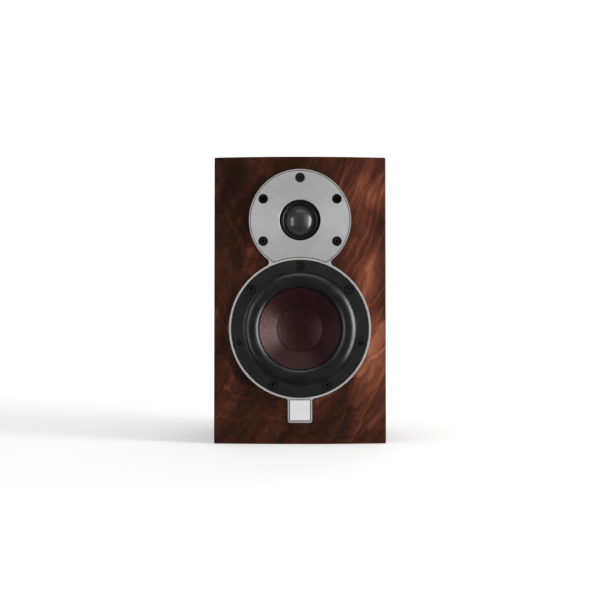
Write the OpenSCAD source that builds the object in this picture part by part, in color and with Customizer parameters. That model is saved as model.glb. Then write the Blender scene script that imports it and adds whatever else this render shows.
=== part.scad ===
// Compact two-way bookshelf loudspeaker with its grille off.
// The front faces -Y, +X is to the right seen from the front, and +Z is up.
// The origin is the centre of the cabinet's base.
// Both drive units are drawn facing +Z about their own axis, with height 0 on the trim's front
// face, and are then turned to face the front.

/* [Cabinet] */
// Width of the cabinet
cab_w = 150; // [148:1:170]
// Height of the cabinet
cab_h = 250; // [248:1:280]
// Depth of the cabinet, from the crown of the front to the back
cab_d = 200; // [195:1:230]
// How far the front bulges forward over its width
front_bulge = 6; // [5:0.5:7]
// Thickness of the front at its crown
baffle_t = 18; // [18:0.5:22]
// Thickness of the other five panels
panel_t = 12; // [11:0.5:13]

/* [Trim plate] */
// How far the trim plate stands proud of the front's crown
trim_proud = 1; // [0.5:0.5:2]
// Thickness of the trim plate
trim_t = 7; // [6.5:0.5:8]
// Thickness of the trim plate's lips, which the drive units clamp
lip_t = 1.5; // [1:0.5:2]
// Radius of the trim plate's outline round the tweeter
tweeter_trim_r = 44.4; // [44:0.2:46]
// Radius of the trim plate's outline round the woofer
woofer_trim_r = 61.6; // [61.4:0.2:63]
// Radius of the concave corners between the two circles
neck_r = 3.4; // [2:0.2:5]
// Width of the tab that holds the badge
tab_w = 21; // [20.5:0.5:24]
// Height of the tab's lower edge above the base
tab_z = 18.5; // [16:0.5:20]
// Side of the square badge plate
badge_w = 17.5; // [15:0.5:18]
// Thickness of the badge plate
badge_t = 1.5; // [1:0.5:2]

/* [Tweeter] */
// Height of the tweeter's axis above the base
tweeter_z = 194.4; // [193:0.2:197]
// Radius of the faceplate
faceplate_r = 43; // [42.6:0.1:43.2]
// Radius of the faceplate's fixing circle
faceplate_fix_r = 37; // [36.5:0.1:37.2]
// Radius of the dome
dome_r = 14; // [13.5:0.1:14]
// Height of the dome
dome_h = 6; // [5:0.5:7]

/* [Woofer] */
// Height of the woofer's axis above the base
woofer_z = 99.9; // [99:0.1:101]
// Radius of the basket's flange
flange_r = 59.6; // [59.2:0.1:59.6]
// Radius of the flange's fixing circle
flange_fix_r = 54.2; // [54:0.1:54.5]
// Radius of the cone's rim
cone_r = 35.2; // [35:0.2:37]
// Depth of the cone from its rim to its neck
cone_depth = 15; // [13:0.5:16]
// Radius of the dust cap
cap_r = 19.8; // [18:0.2:21]
// Depth of the dish in the dust cap
cap_depth = 4; // [3:0.5:4.5]
// How high the surround's roll stands
roll_h = 4; // [3.5:0.1:5]
// How far the cone moves each way
cone_travel = 4; // [2:0.5:4.5]

/* [Reflex port] */
// Height of the port's axis above the base
port_z = 172; // [170:1:174]
// Inner radius of the port
port_r = 17.5; // [16:0.5:18]
// Length of the port
port_len = 90; // [70:1:95]

/* [Rear terminals] */
// Width of the terminal plate
terminal_w = 108; // [104:1:112]
// Height of the terminal plate
terminal_h = 76; // [74:1:78]
// Height of the terminal plate's centre above the base
terminal_z = 66; // [62:1:70]
// Distance between the two columns of binding posts
post_pitch_x = 40; // [38:1:44]
// Distance between the two rows of binding posts
post_pitch_z = 30; // [26:1:32]
// Radius of a post's stud
stud_r = 3; // [3:0.1:3.2]
// Radius of a clamping knob
knob_r = 7; // [6.5:0.5:8]
// Length of a clamping knob
knob_len = 15; // [14:0.5:16]

/* [Hidden] */
$fn = 96;

// Cabinet planes and the round front
half_w = cab_w / 2;
front_y = -cab_d / 2;
rear_y = cab_d / 2;
baffle_back_y = front_y + baffle_t;
front_curve_r = (half_w * half_w + front_bulge * front_bulge) / (2 * front_bulge);
face_y = front_y - trim_proud;
cut_extra = 1;
deep = 60;

// Heights in the drive units' own direction
trim_back = -trim_t;
lip_top = trim_back + lip_t;
gasket_t = 0.5;
flange_back = lip_top + gasket_t;
flange_chamfer = 0.5;

// Fixings
fix_hole_r = 4.3;
fix_hole_depth = 3;
screw_head_r = 4.1;
screw_head_h = 2.6;
screw_shaft_r = 1.9;
screw_shaft_len = 14.5;
screw_clear_r = 2.2;
screw_pilot_extra = 0.05;
hex_key_r = 1.45;
hex_key_depth = 1.6;
faceplate_screw_angles = [90, 210, 330];
faceplate_socket_angles = [30, 150];
flange_step = 360 / 7;
flange_screw_angles = [for (i = [0, 1, 3, 4, 6]) 90 + i * flange_step];
flange_socket_angles = [for (i = [2, 5]) 90 + i * flange_step];
socket_r = 4.2;
socket_bore_r = 2.5;
socket_reach = 6.9;
socket_back = -11.8;
faceplate_socket_recess = 3;
flange_socket_recess = 0.3;
socket_hole_r = 4.3;

// Trim plate's outline
axis_gap = tweeter_z - woofer_z;
woofer_opening_r = flange_r + 0.3;
faceplate_gap = 0.6;
faceplate_cut_r = woofer_trim_r + faceplate_gap;
pocket_gap = 0.25;
trim_slack = 0.05;
pocket_slack = 0.35;
tab_corner_r = 2;
tab_fillet_r = 2;
badge_gap = 0.45;
badge_z = tab_z + 10.75;
badge_recess_depth = 1.8;

// Tweeter
tweeter_hole_r = 30.5;
faceplate_opening_r = 17.9;
faceplate_bevel = 0.3;
dome_t = 0.35;
dome_base = -8;
ring_out_r = 29;
ring_back = -9;
ring_nose_top = -1.6;
ring_nose_in = 14.9;
ring_nose_out = 16.4;
ring_bore_r = 15.8;
treble_roll_r = 15.7;
treble_roll_h = 0.8;
treble_lip_r = 18;
treble_plate_r = 27;
treble_magnet_r = 28;
treble_plate_back = -13;
treble_magnet_back = -27;
treble_yoke_back = -32;
treble_chamber_back = -50;
treble_pole_r = 13.2;
treble_vent_r = 4;
chamber_wall = 2;

// Woofer
woofer_hole_r = 49.4;
basket_wall_in = 46.9;
basket_wall_out = 49;
basket_step_r = 49.5;
surround_lip_top = -2.2;
surround_t = 0.7;
surround_out_r = 48.7;
spider_z = -26;
spider_t = 0.5;
spider_out_r = 33.5;
former_r = 13;
former_t = 0.3;
winding_t = 0.7;
glue_gap = 0.1;
cone_t = 0.7;
cone_rim = surround_lip_top + cone_t + glue_gap;
cone_neck = cone_rim - cone_depth;
bass_plate_front = -35;
bass_plate_back = -40;
bass_magnet_back = -55;
bass_yoke_back = -61;
bass_plate_r = 42;
bass_magnet_r = 45;
bass_gap_r = 14.2;
bass_pole_r = 12.2;
bass_vent_r = 5;
winding_h = bass_plate_front - bass_plate_back + 1.5 * cone_travel;
winding_mid = (bass_plate_front + bass_plate_back) / 2;

// Rear side
terminal_t = 3.5;
terminal_corner_r = 6;
terminal_screw_x = 47.5;
terminal_screw_z = 31.5;
cutout_w = 84;
cutout_h = 56;
collar_t = 3;
link_t = 1;
washer_t = 1.5;
washer_r = 6;
running_gap = 0.05;
seat_gap = 0.1;
plate_face = terminal_t;
link_base = plate_face + collar_t;
washer_base = link_base + link_t + seat_gap;
knob_base = washer_base + washer_t + seat_gap;
stud_top = knob_base + knob_len - 1.5;
stud_bottom = -14;
banana_r = 2.05;
banana_depth = 18;
wire_hole_r = 1.6;
hanger_w = 44;
hanger_h = 22;
hanger_t = 1.5;
hanger_z = 223;
hanger_screw_x = 16.5;
keyhole_r = 5;
keyhole_slot_r = 2.6;
keyhole_drop = 4;
keyhole_rise = 5;
rear_screw_shaft_r = 1.6;
rear_screw_len = 10;

// Crossover, on the bottom panel
board = [96, 64, 1.6];
board_y = 37;
board_lift = 6;
board_top = panel_t + board_lift + board.z;
board_hole_x = 43;
board_hole_y = 27;
standoff_r = 3.5;
// Each inductor: its place on the board, its axis' turn, its flange radius and its height
inductors = [
    [[-27, 37, board_top], [0, 0, 0], 18, 17],
    [[1, 54, board_top + 12], [0, 90, 0], 12, 14]
];
bobbin_core_r = 6;
bobbin_flange_t = 1.2;
bobbin_tube_t = 1.2;

// Hand-laid wire runs, each from a terminal to the crossover board, on the negative side
wire_r = 1.1;
tinsel_r = 0.6;
bass_run = [
    [6, -70.1, 56], [6, -66, 56], [7, -58, 52], [9, -46, 46], [11, -32, 39], [13, -16, 31],
    [14, -3, 25], [14, 3.5, 22.8], [14, 6, 21.3], [14, 6, 19.62]
];
treble_run = [
    [5, -41, 194.4], [5, -36, 193], [7, -30, 184], [10, -26, 160], [14, -22, 120], [19, -18, 75],
    [22, -12, 42], [23, -4, 27], [23, 3.5, 22.8], [23, 6, 21.3], [23, 6, 19.62]
];
bass_input_run = [
    [20, 85.9, 51], [20, 83, 51], [20.5, 80, 48], [22, 76, 38], [24, 71, 27], [24, 67.5, 22.8],
    [24, 66, 21.3], [24, 66, 19.62]
];
treble_input_run = [
    [20, 85.9, 81], [20, 83, 81], [21, 80.5, 79], [27, 77, 64], [32, 74, 42], [34, 71, 28],
    [34, 67.5, 22.8], [34, 66, 21.3], [34, 66, 19.62]
];
// The flexible lead from the cone's back to the woofer's terminals, in the woofer's own direction
tinsel_run = [
    [6, -20, -12.1], [6, -22, -15], [6, -26, -19], [6, -31, -21], [6, -36, -21.5], [6, -40, -23.5],
    [6, -41.5, -27.5], [6, -41.5, -29.9]
];

// Turns a drive unit's own axis to face the front at the given height
module facing(z) {
    translate([0, face_y, z])
    rotate([90, 0, 0])
        children();
}

// Turns an item's own axis to point out of the back at the given place
module rearward(x, z) {
    translate([x, rear_y, z])
    rotate([-90, 0, 0])
        children();
}

module ring(r_in, r_out, low, high) {
    translate([0, 0, low])
    linear_extrude(high - low)
    difference() {
        circle(r = r_out);
        circle(r = r_in);
    }
}

module rod(r, low, high) {
    translate([0, 0, low])
        cylinder(r = r, h = high - low);
}

module around(radius, angles) {
    for (a = angles)
        translate([radius * cos(a), radius * sin(a), 0])
            children();
}

module rounded_rect(w, h, r) {
    square([w - 2 * r, h], center = true);
    square([w, h - 2 * r], center = true);
    for (x = [-1, 1], y = [-1, 1])
        translate([x * (w / 2 - r), y * (h / 2 - r)])
            circle(r = r);
}

// A thin turned sheet: the front edge's points followed back along the same points lowered by t
module turned_sheet(points, t) {
    count = len(points);
    rotate_extrude()
        polygon(concat(
            points,
            [for (i = [count - 1:-1:0]) [points[i].x, points[i].y - t]]
        ));
}

function unit(v) = v / norm(v);
function tangent(path, i) = unit(path[min(i + 1, len(path) - 1)] - path[max(i - 1, 0)]);
function mirrored(path) = [for (p = path) [-p.x, p.y, p.z]];

// A round wire along a path, as one closed tube
module wire(path, r) {
    sides = 8;
    last = len(path) - 1;
    reference = [1, 0.3, 0.2];
    points = [
        for (i = [0:last])
        let (t = tangent(path, i), u = unit(cross(t, reference)), v = cross(t, u))
        for (k = [0:sides - 1])
            path[i] + r * (u * cos(360 * k / sides) + v * sin(360 * k / sides))
    ];
    walls = [
        for (i = [0:last - 1], k = [0:sides - 1])
        let (a = i * sides + k, b = i * sides + (k + 1) % sides)
        each [[a, b + sides, b], [a, a + sides, b + sides]]
    ];
    polyhedron(
        points,
        concat([[for (k = [0:sides - 1]) k]], walls, [[for (k = [sides - 1:-1:0]) last * sides + k]])
    );
}

// ---------------------------------------------------------------- cabinet

// Distance of a fillet's centre along the line of centres, from the woofer's axis
function neck_along(ra, rb) = (axis_gap * axis_gap + rb * rb - ra * ra) / (2 * axis_gap);

// A slab with the trim plate's outline, grown for a clearance; slack opens the concave corners
// further, and a little of it keeps their arcs from ending in exact tangents
module trim_slab(high, grow, slack) {
    along = neck_along(tweeter_trim_r + neck_r, woofer_trim_r + neck_r);
    across = sqrt(pow(woofer_trim_r + neck_r, 2) - along * along);
    tab_fillet_x = tab_w / 2 + tab_fillet_r;
    tab_fillet_z = woofer_z - sqrt(pow(woofer_trim_r + tab_fillet_r, 2) - pow(tab_fillet_x, 2));
    tab_top = woofer_z - woofer_trim_r + 2 * tab_fillet_r;
    translate([0, tweeter_z, 0])
        rod(tweeter_trim_r + grow, trim_back, high);
    translate([0, woofer_z, 0])
        rod(woofer_trim_r + grow, trim_back, high);
    translate([0, 0, trim_back])
    linear_extrude(high - trim_back)
    difference() {
        polygon([[0, tweeter_z], [across, woofer_z + along], [0, woofer_z], [-across, woofer_z + along]]);
        for (side = [-1, 1])
            translate([side * across, woofer_z + along])
                circle(r = neck_r - grow - slack);
    }
    translate([0, 0, trim_back])
    linear_extrude(high - trim_back)
    difference() {
        polygon([[0, woofer_z], [tab_fillet_x, tab_fillet_z], [-tab_fillet_x, tab_fillet_z]]);
        for (side = [-1, 1])
            translate([side * tab_fillet_x, tab_fillet_z])
                circle(r = tab_fillet_r - grow - slack);
    }
    translate([0, (tab_z + tab_top) / 2, trim_back])
    linear_extrude(high - trim_back)
        rounded_rect(tab_w + 2 * grow, tab_top - tab_z + 2 * grow, tab_corner_r + grow);
}

module faceplate_outline(grow = 0) {
    difference() {
        translate([0, tweeter_z])
            circle(r = faceplate_r + grow);
        translate([0, woofer_z])
            circle(r = faceplate_cut_r - grow);
    }
}

module driver_fixings(screw_r, hole_r, low, high) {
    translate([0, tweeter_z, 0]) {
        around(faceplate_fix_r, faceplate_screw_angles)
            rod(screw_r, low, high);
        around(faceplate_fix_r, faceplate_socket_angles)
            rod(hole_r, low, high);
    }
    translate([0, woofer_z, 0]) {
        around(flange_fix_r, flange_screw_angles)
            rod(screw_r, low, high);
        around(flange_fix_r, flange_socket_angles)
            rod(hole_r, low, high);
    }
}

module front_baffle() {
    pilot_low = -fix_hole_depth - screw_shaft_len - cut_extra / 2;
    socket_low = socket_back - cut_extra / 2;
    color("saddlebrown")
    difference() {
        linear_extrude(cab_h)
        intersection() {
            translate([-half_w, front_y])
                square([cab_w, baffle_t]);
            translate([0, front_y + front_curve_r])
                circle(r = front_curve_r, $fn = 720);
        }
        facing(0) {
            trim_slab(cut_extra, pocket_gap, pocket_slack);
            translate([0, tweeter_z, 0])
                rod(tweeter_hole_r, -deep, 0);
            translate([0, woofer_z, 0])
                rod(woofer_hole_r, -deep, 0);
            translate([0, tweeter_z, 0])
            around(faceplate_fix_r, faceplate_screw_angles)
                rod(screw_shaft_r + screw_pilot_extra, pilot_low, 0);
            translate([0, woofer_z, 0])
            around(flange_fix_r, flange_screw_angles)
                rod(screw_shaft_r + screw_pilot_extra, pilot_low, 0);
            translate([0, tweeter_z, 0])
            around(faceplate_fix_r, faceplate_socket_angles)
                rod(socket_hole_r, socket_low, 0);
            translate([0, woofer_z, 0])
            around(flange_fix_r, flange_socket_angles)
                rod(socket_hole_r, socket_low, 0);
        }
    }
}

// A mitred panel of the wrap, drawn as seen from the front and run from the front to the back
module wrap_panel(outline) {
    color("saddlebrown")
    translate([0, rear_y, 0])
    rotate([90, 0, 0])
    linear_extrude(rear_y - baffle_back_y)
        polygon(outline);
}

module side_panel(side) {
    inner = half_w - panel_t;
    wrap_panel([
        [side * half_w, 0], [side * inner, panel_t], [side * inner, cab_h - panel_t], [side * half_w, cab_h]
    ]);
}

module side_panel_left() {
    side_panel(-1);
}

module side_panel_right() {
    side_panel(1);
}

module top_panel() {
    inner = half_w - panel_t;
    wrap_panel([
        [-half_w, cab_h], [-inner, cab_h - panel_t], [inner, cab_h - panel_t], [half_w, cab_h]
    ]);
}

module bottom_panel() {
    inner = half_w - panel_t;
    pilot_r = 1.25;
    pilot_depth = 7;
    color("saddlebrown")
    difference() {
        wrap_panel([[-half_w, 0], [-inner, panel_t], [inner, panel_t], [half_w, 0]]);
        board_corners(panel_t - pilot_depth)
            cylinder(r = pilot_r, h = pilot_depth + cut_extra);
    }
}

module rear_panel() {
    inner_w = cab_w - 2 * panel_t;
    inner_h = cab_h - 2 * panel_t;
    port_hole_r = port_r + 7;
    head_room_r = keyhole_r + 1;
    head_room_depth = 8;
    color("saddlebrown")
    difference() {
        translate([-inner_w / 2, rear_y - panel_t, panel_t])
            cube([inner_w, panel_t, inner_h]);
        rearward(0, port_z)
            rod(port_hole_r, -panel_t - cut_extra, cut_extra);
        rearward(0, terminal_z)
        translate([0, 0, -panel_t - cut_extra])
        linear_extrude(panel_t + 2 * cut_extra)
            rounded_rect(cutout_w, cutout_h, terminal_corner_r);
        rear_screw_places(0)
            rod(rear_screw_shaft_r + screw_pilot_extra, -rear_screw_len - cut_extra / 2, cut_extra);
        rearward(0, hanger_z)
        translate([0, 0, -hanger_t])
        linear_extrude(hanger_t + cut_extra)
            rounded_rect(hanger_w + 2 * pocket_gap, hanger_h + 2 * pocket_gap, 2);
        for (z = [-keyhole_drop, keyhole_rise])
            rearward(0, hanger_z + z)
                rod(head_room_r, -head_room_depth, 0);
    }
}

// ---------------------------------------------------------------- trim, badge and grille sockets

module trim_plate() {
    color("silver")
    facing(0)
    difference() {
        trim_slab(0, 0, trim_slack);
        translate([0, 0, lip_top])
        linear_extrude(trim_t)
            faceplate_outline(faceplate_gap);
        translate([0, woofer_z, 0]) {
            rod(woofer_opening_r, lip_top, cut_extra);
            rod(woofer_hole_r, -deep, 0);
        }
        translate([0, tweeter_z, 0])
            rod(tweeter_hole_r, -deep, 0);
        driver_fixings(screw_clear_r, socket_hole_r, trim_back - cut_extra, lip_top + cut_extra);
        translate([0, badge_z, -badge_recess_depth])
        linear_extrude(badge_recess_depth + cut_extra)
            square(badge_w + 2 * badge_gap, center = true);
    }
}

module badge_plate() {
    color("gainsboro")
    facing(badge_z)
    translate([0, 0, -badge_recess_depth])
    linear_extrude(badge_t)
        square(badge_w, center = true);
}

module grille_socket(recess) {
    difference() {
        rod(socket_r, socket_back, -recess);
        rod(socket_bore_r, -socket_reach, cut_extra);
    }
}

module grille_sockets() {
    color("black") {
        facing(tweeter_z)
        around(faceplate_fix_r, faceplate_socket_angles)
            grille_socket(faceplate_socket_recess);
        facing(woofer_z)
        around(flange_fix_r, flange_socket_angles)
            grille_socket(flange_socket_recess);
    }
}

module driver_screw() {
    translate([0, 0, -fix_hole_depth])
    difference() {
        union() {
            cylinder(r = screw_head_r, h = screw_head_h);
            rod(screw_shaft_r, -screw_shaft_len, 0);
        }
        translate([0, 0, screw_head_h - hex_key_depth])
            cylinder(r = hex_key_r, h = hex_key_depth + cut_extra, $fn = 6);
    }
}

module driver_screws() {
    color("dimgray") {
        facing(tweeter_z)
        around(faceplate_fix_r, faceplate_screw_angles)
            driver_screw();
        facing(woofer_z)
        around(flange_fix_r, flange_screw_angles)
            driver_screw();
    }
}

// ---------------------------------------------------------------- tweeter

module tweeter_faceplate() {
    bevel_r = faceplate_opening_r + faceplate_bevel;
    color("darkgray")
    facing(0)
    difference() {
        translate([0, 0, flange_back])
        linear_extrude(-flange_back)
            faceplate_outline();
        translate([0, tweeter_z, 0]) {
            rod(faceplate_opening_r, -deep, cut_extra);
            translate([0, 0, -faceplate_bevel])
                cylinder(r1 = faceplate_opening_r, r2 = bevel_r + cut_extra, h = faceplate_bevel + cut_extra);
            around(faceplate_fix_r, faceplate_screw_angles) {
                rod(fix_hole_r, -fix_hole_depth, cut_extra);
                rod(screw_clear_r, -deep, cut_extra);
            }
            around(faceplate_fix_r, faceplate_socket_angles)
                rod(socket_hole_r, -deep, cut_extra);
        }
    }
}

module tweeter_gasket() {
    inner_r = tweeter_hole_r + 0.5;
    color("black")
    facing(0)
    difference() {
        translate([0, 0, lip_top])
        linear_extrude(gasket_t)
            faceplate_outline(-0.3);
        translate([0, tweeter_z, 0])
            rod(inner_r, -deep, 0);
        driver_fixings(screw_clear_r, socket_hole_r, -deep, 0);
    }
}

// Holds the dome's surround, with a thin raised nose round the dome and an open groove round that
module tweeter_ring() {
    nose_round = 0.45;
    color("black")
    facing(tweeter_z)
    rotate_extrude()
        polygon([
            [ring_bore_r, dome_base + 0.1], [treble_lip_r + 0.2, dome_base + 0.1],
            [treble_lip_r + 0.2, ring_back], [ring_out_r, ring_back],
            [ring_out_r, flange_back], [ring_nose_out, flange_back],
            [ring_nose_out, ring_nose_top - nose_round], [ring_nose_out - nose_round, ring_nose_top],
            [ring_nose_in + nose_round, ring_nose_top], [ring_nose_in, ring_nose_top - nose_round],
            [ring_nose_in, -3.2], [ring_bore_r, -4.6]
        ]);
}

module tweeter_surround() {
    steps = 12;
    start_r = dome_r + 0.2;
    mid_r = (start_r + treble_roll_r) / 2;
    half = (treble_roll_r - start_r) / 2;
    color("black")
    facing(tweeter_z)
        turned_sheet(
            concat(
                [for (i = [0:steps])
                    [mid_r - half * cos(180 * i / steps), dome_base + treble_roll_h * sin(180 * i / steps)]],
                [[treble_lip_r, dome_base]]
            ),
            dome_t
        );
}

module tweeter_dome() {
    steps = 16;
    sphere_r = (dome_r * dome_r + dome_h * dome_h) / (2 * dome_h);
    half_angle = asin(dome_r / sphere_r);
    color("black")
    facing(tweeter_z)
        turned_sheet(
            [for (i = [0:steps])
                let (a = half_angle * i / steps)
                [sphere_r * sin(a), dome_base + dome_h - sphere_r * (1 - cos(a))]],
            dome_t
        );
}

module tweeter_voice_coil() {
    coil_h = 6;
    color("goldenrod")
    facing(tweeter_z)
        ring(dome_r - 0.3, dome_r + 0.1, dome_base - dome_t - coil_h, dome_base - dome_t);
}

module tweeter_top_plate() {
    gap_r = dome_r + 0.5;
    color("silver")
    facing(tweeter_z)
        ring(gap_r, treble_plate_r, treble_plate_back, ring_back);
}

module tweeter_magnet() {
    magnet_in_r = 18;
    color("dimgray")
    facing(tweeter_z)
        ring(magnet_in_r, treble_magnet_r, treble_magnet_back, treble_plate_back);
}

module tweeter_yoke() {
    pole_top = ring_back - 0.5;
    color("silver")
    facing(tweeter_z)
    difference() {
        union() {
            rod(treble_plate_r, treble_yoke_back, treble_magnet_back);
            rod(treble_pole_r, treble_magnet_back, pole_top);
        }
        rod(treble_vent_r, -deep, 0);
    }
}

module tweeter_rear_chamber() {
    inner_r = treble_plate_r - chamber_wall;
    color("black")
    facing(tweeter_z)
    difference() {
        rod(treble_plate_r, treble_chamber_back, treble_yoke_back);
        rod(inner_r, treble_chamber_back + chamber_wall, treble_yoke_back + cut_extra);
    }
}

// A terminal strip: an insulating base with two push-on tabs pointing backwards
module terminal_strip(pitch) {
    base = [18, 8, 2];
    tab = [4.8, 0.8, 8];
    translate([-base.x / 2, -base.y / 2, -base.z])
        cube(base);
    for (side = [-1, 1])
        translate([side * pitch / 2 - tab.x / 2, -tab.y / 2, -base.z - tab.z])
            cube(tab);
}

module tweeter_terminals() {
    color("gold")
    facing(tweeter_z)
    translate([0, 0, treble_chamber_back])
        terminal_strip(10);
}

// ---------------------------------------------------------------- woofer

module woofer_basket() {
    ledge_top = surround_lip_top - surround_t;
    wall_low = -12;
    window_low = -25;
    window_high = -13.5;
    window_angle = 42;
    windows = 6;
    seat_in = 16;
    seat_out = 36;
    leg_in = 33;
    ledge_r = 30.5;
    step_chamfer = 0.3;
    spider_seat = spider_z - spider_t;
    seat_t = 2.5;
    color("black")
    facing(woofer_z)
    difference() {
        rotate_extrude()
            polygon([
                [basket_step_r, ledge_top], [basket_step_r, -step_chamfer],
                [basket_step_r + step_chamfer, 0], [flange_r - flange_chamfer, 0],
                [flange_r, -flange_chamfer], [flange_r, flange_back],
                [basket_wall_out, flange_back], [basket_wall_out, wall_low],
                [seat_out, window_low - 1], [seat_out, bass_plate_front],
                [seat_in, bass_plate_front], [seat_in, bass_plate_front + seat_t],
                [leg_in, bass_plate_front + seat_t], [ledge_r, spider_seat - seat_t],
                [ledge_r, spider_seat], [leg_in + 1, spider_seat],
                [basket_wall_in, wall_low], [basket_wall_in, ledge_top]
            ]);
        for (i = [0:windows - 1])
            rotate([0, 0, 360 * (i + 0.5) / windows - window_angle / 2])
            rotate_extrude(angle = window_angle)
                polygon([
                    [ledge_r, window_low], [deep, window_low], [deep, window_high], [ledge_r, window_high]
                ]);
        around(flange_fix_r, flange_screw_angles) {
            rod(fix_hole_r, -fix_hole_depth, cut_extra);
            rod(screw_clear_r, -deep, cut_extra);
        }
        around(flange_fix_r, flange_socket_angles)
            rod(socket_hole_r, -deep, cut_extra);
    }
}

module woofer_gasket() {
    color("black")
    facing(0)
    difference() {
        translate([0, woofer_z, 0])
            ring(woofer_hole_r + 0.1, flange_r - 0.3, lip_top, flange_back);
        driver_fixings(screw_clear_r, socket_hole_r, -deep, 0);
    }
}

// The roll, and the moulded bead that fills the step inside the basket's flange
module woofer_surround() {
    steps = 16;
    bead_step = 13;
    bead_top = -0.3;
    lip_r = cone_r - 2.5;
    start_r = cone_r + 0.3;
    mid_r = (surround_out_r + start_r) / 2;
    half = (surround_out_r - start_r) / 2;
    inner = [lip_r, cone_at(lip_r) - cone_t - glue_gap];
    roll = [
        for (i = [0:steps])
            [mid_r - half * cos(180 * i / steps), surround_lip_top + roll_h * sin(180 * i / steps)]
    ];
    outer_r = basket_step_r - glue_gap;
    color("black")
    facing(woofer_z)
    rotate_extrude()
        polygon(concat(
            [inner],
            [for (i = [0:bead_step]) roll[i]],
            [[roll[bead_step].x + 0.4, bead_top], [outer_r, bead_top], [outer_r, surround_lip_top - surround_t]],
            [for (i = [steps:-1:0]) [roll[i].x, roll[i].y - surround_t]],
            [[inner.x, inner.y - surround_t]]
        ));
}

// The cone's front face: a shallow flare from the neck to the rim
function cone_at(r) = cone_neck + cone_depth * pow((r - former_r) / (cone_r - former_r), 0.92);

module woofer_cone() {
    steps = 14;
    color("maroon")
    facing(woofer_z)
        turned_sheet(
            [for (i = [0:steps])
                let (r = former_r + (cone_r - former_r) * i / steps)
                [r, cone_at(r)]],
            cone_t
        );
}

module woofer_dust_cap() {
    steps = 12;
    rim = cone_at(cap_r) + cone_t;
    color("maroon")
    facing(woofer_z)
        turned_sheet(
            [for (i = [0:steps])
                let (r = cap_r * i / steps)
                [r, rim - cap_depth * (1 - pow(r / cap_r, 2))]],
            cone_t
        );
}

module woofer_former() {
    top = cone_neck;
    bottom = winding_mid - winding_h / 2 - 3;
    color("peru")
    facing(woofer_z)
        ring(former_r - former_t, former_r, bottom, top);
}

module woofer_winding() {
    color("goldenrod")
    facing(woofer_z)
        ring(former_r, former_r + winding_t, winding_mid - winding_h / 2, winding_mid + winding_h / 2);
}

module woofer_spider() {
    waves = 4;
    steps = 8 * waves;
    wave_h = 1.1;
    start_r = former_r + glue_gap;
    wave_r = 30;
    color("khaki")
    facing(woofer_z)
        turned_sheet(
            concat(
                [for (i = [0:steps])
                    [start_r + (wave_r - start_r) * i / steps, spider_z + wave_h * sin(360 * waves * i / steps)]],
                [[spider_out_r, spider_z]]
            ),
            spider_t
        );
}

module woofer_top_plate() {
    color("silver")
    facing(woofer_z)
        ring(bass_gap_r, bass_plate_r, bass_plate_back, bass_plate_front);
}

module woofer_magnet() {
    magnet_in_r = 22;
    color("dimgray")
    facing(woofer_z)
        ring(magnet_in_r, bass_magnet_r, bass_magnet_back, bass_plate_back);
}

module woofer_yoke() {
    color("silver")
    facing(woofer_z)
    difference() {
        union() {
            rod(bass_plate_r, bass_yoke_back, bass_magnet_back);
            rod(bass_pole_r, bass_magnet_back, bass_plate_front + 0.5);
        }
        rod(bass_vent_r, -deep - cut_extra * 5, 0);
    }
}

module woofer_terminals() {
    strip_drop = 36;
    strip_mid = -30.4;
    color("gold")
    facing(woofer_z)
    translate([0, -strip_drop, strip_mid])
    rotate([-90, 0, 0])
        terminal_strip(12);
}

module woofer_tinsel_leads() {
    color("orange")
    facing(woofer_z)
    for (path = [tinsel_run, mirrored(tinsel_run)])
        wire(path, tinsel_r);
}

// ---------------------------------------------------------------- reflex port and wall hanger

module reflex_port() {
    flare_r = 8;
    wall = 2;
    steps = 12;
    flange_t = 2;
    mouth_r = port_r + flare_r;
    flange_out_r = mouth_r + 2.5;
    body_r = mouth_r - 1.5;
    inner_end = flange_t - port_len;
    neck = flange_t - flare_r;
    color("black")
    rearward(0, port_z)
    rotate_extrude()
        polygon(concat(
            [[port_r, inner_end], [port_r, neck]],
            [for (i = [1:steps])
                [mouth_r - flare_r * cos(90 * i / steps), neck + flare_r * sin(90 * i / steps)]],
            [
                [flange_out_r, flange_t], [flange_out_r, 0], [body_r, 0], [body_r, -panel_t / 2],
                [port_r + wall, -panel_t], [port_r + wall, inner_end]
            ]
        ));
}

module wall_hanger() {
    color("dimgray")
    rearward(0, hanger_z)
    translate([0, 0, -hanger_t])
    difference() {
        linear_extrude(hanger_t)
            rounded_rect(hanger_w, hanger_h, 2);
        translate([0, keyhole_drop, 0])
            rod(keyhole_r, -cut_extra, hanger_t + cut_extra);
        translate([0, -keyhole_rise, 0])
            rod(keyhole_slot_r, -cut_extra, hanger_t + cut_extra);
        translate([-keyhole_slot_r, -keyhole_rise, -cut_extra])
            cube([2 * keyhole_slot_r, keyhole_rise + keyhole_drop, hanger_t + 2 * cut_extra]);
        for (side = [-1, 1])
            translate([side * hanger_screw_x, 0, 0])
                rod(rear_screw_shaft_r + 0.2, -cut_extra, hanger_t + cut_extra);
    }
}

// Every place where a rear screw sits; face is how far the terminal plate lifts its four screws
module rear_screw_places(face) {
    for (x = [-1, 1], z = [-1, 1])
        rearward(x * terminal_screw_x, terminal_z + z * terminal_screw_z)
        translate([0, 0, face])
            children();
    for (side = [-1, 1])
        rearward(side * hanger_screw_x, hanger_z)
            children();
}

module rear_screws() {
    head_r = 3.2;
    head_h = 1.8;
    slot = [3.6, 0.8, 1.1];
    color("black")
    rear_screw_places(terminal_t)
    difference() {
        union() {
            cylinder(r1 = head_r, r2 = head_r - 0.8, h = head_h);
            rod(rear_screw_shaft_r, -rear_screw_len, 0);
        }
        for (turn = [0, 90])
            rotate([0, 0, turn])
            translate([-slot.x / 2, -slot.y / 2, head_h - slot.z])
                cube([slot.x, slot.y, slot.z + cut_extra]);
    }
}

// ---------------------------------------------------------------- terminals

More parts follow.
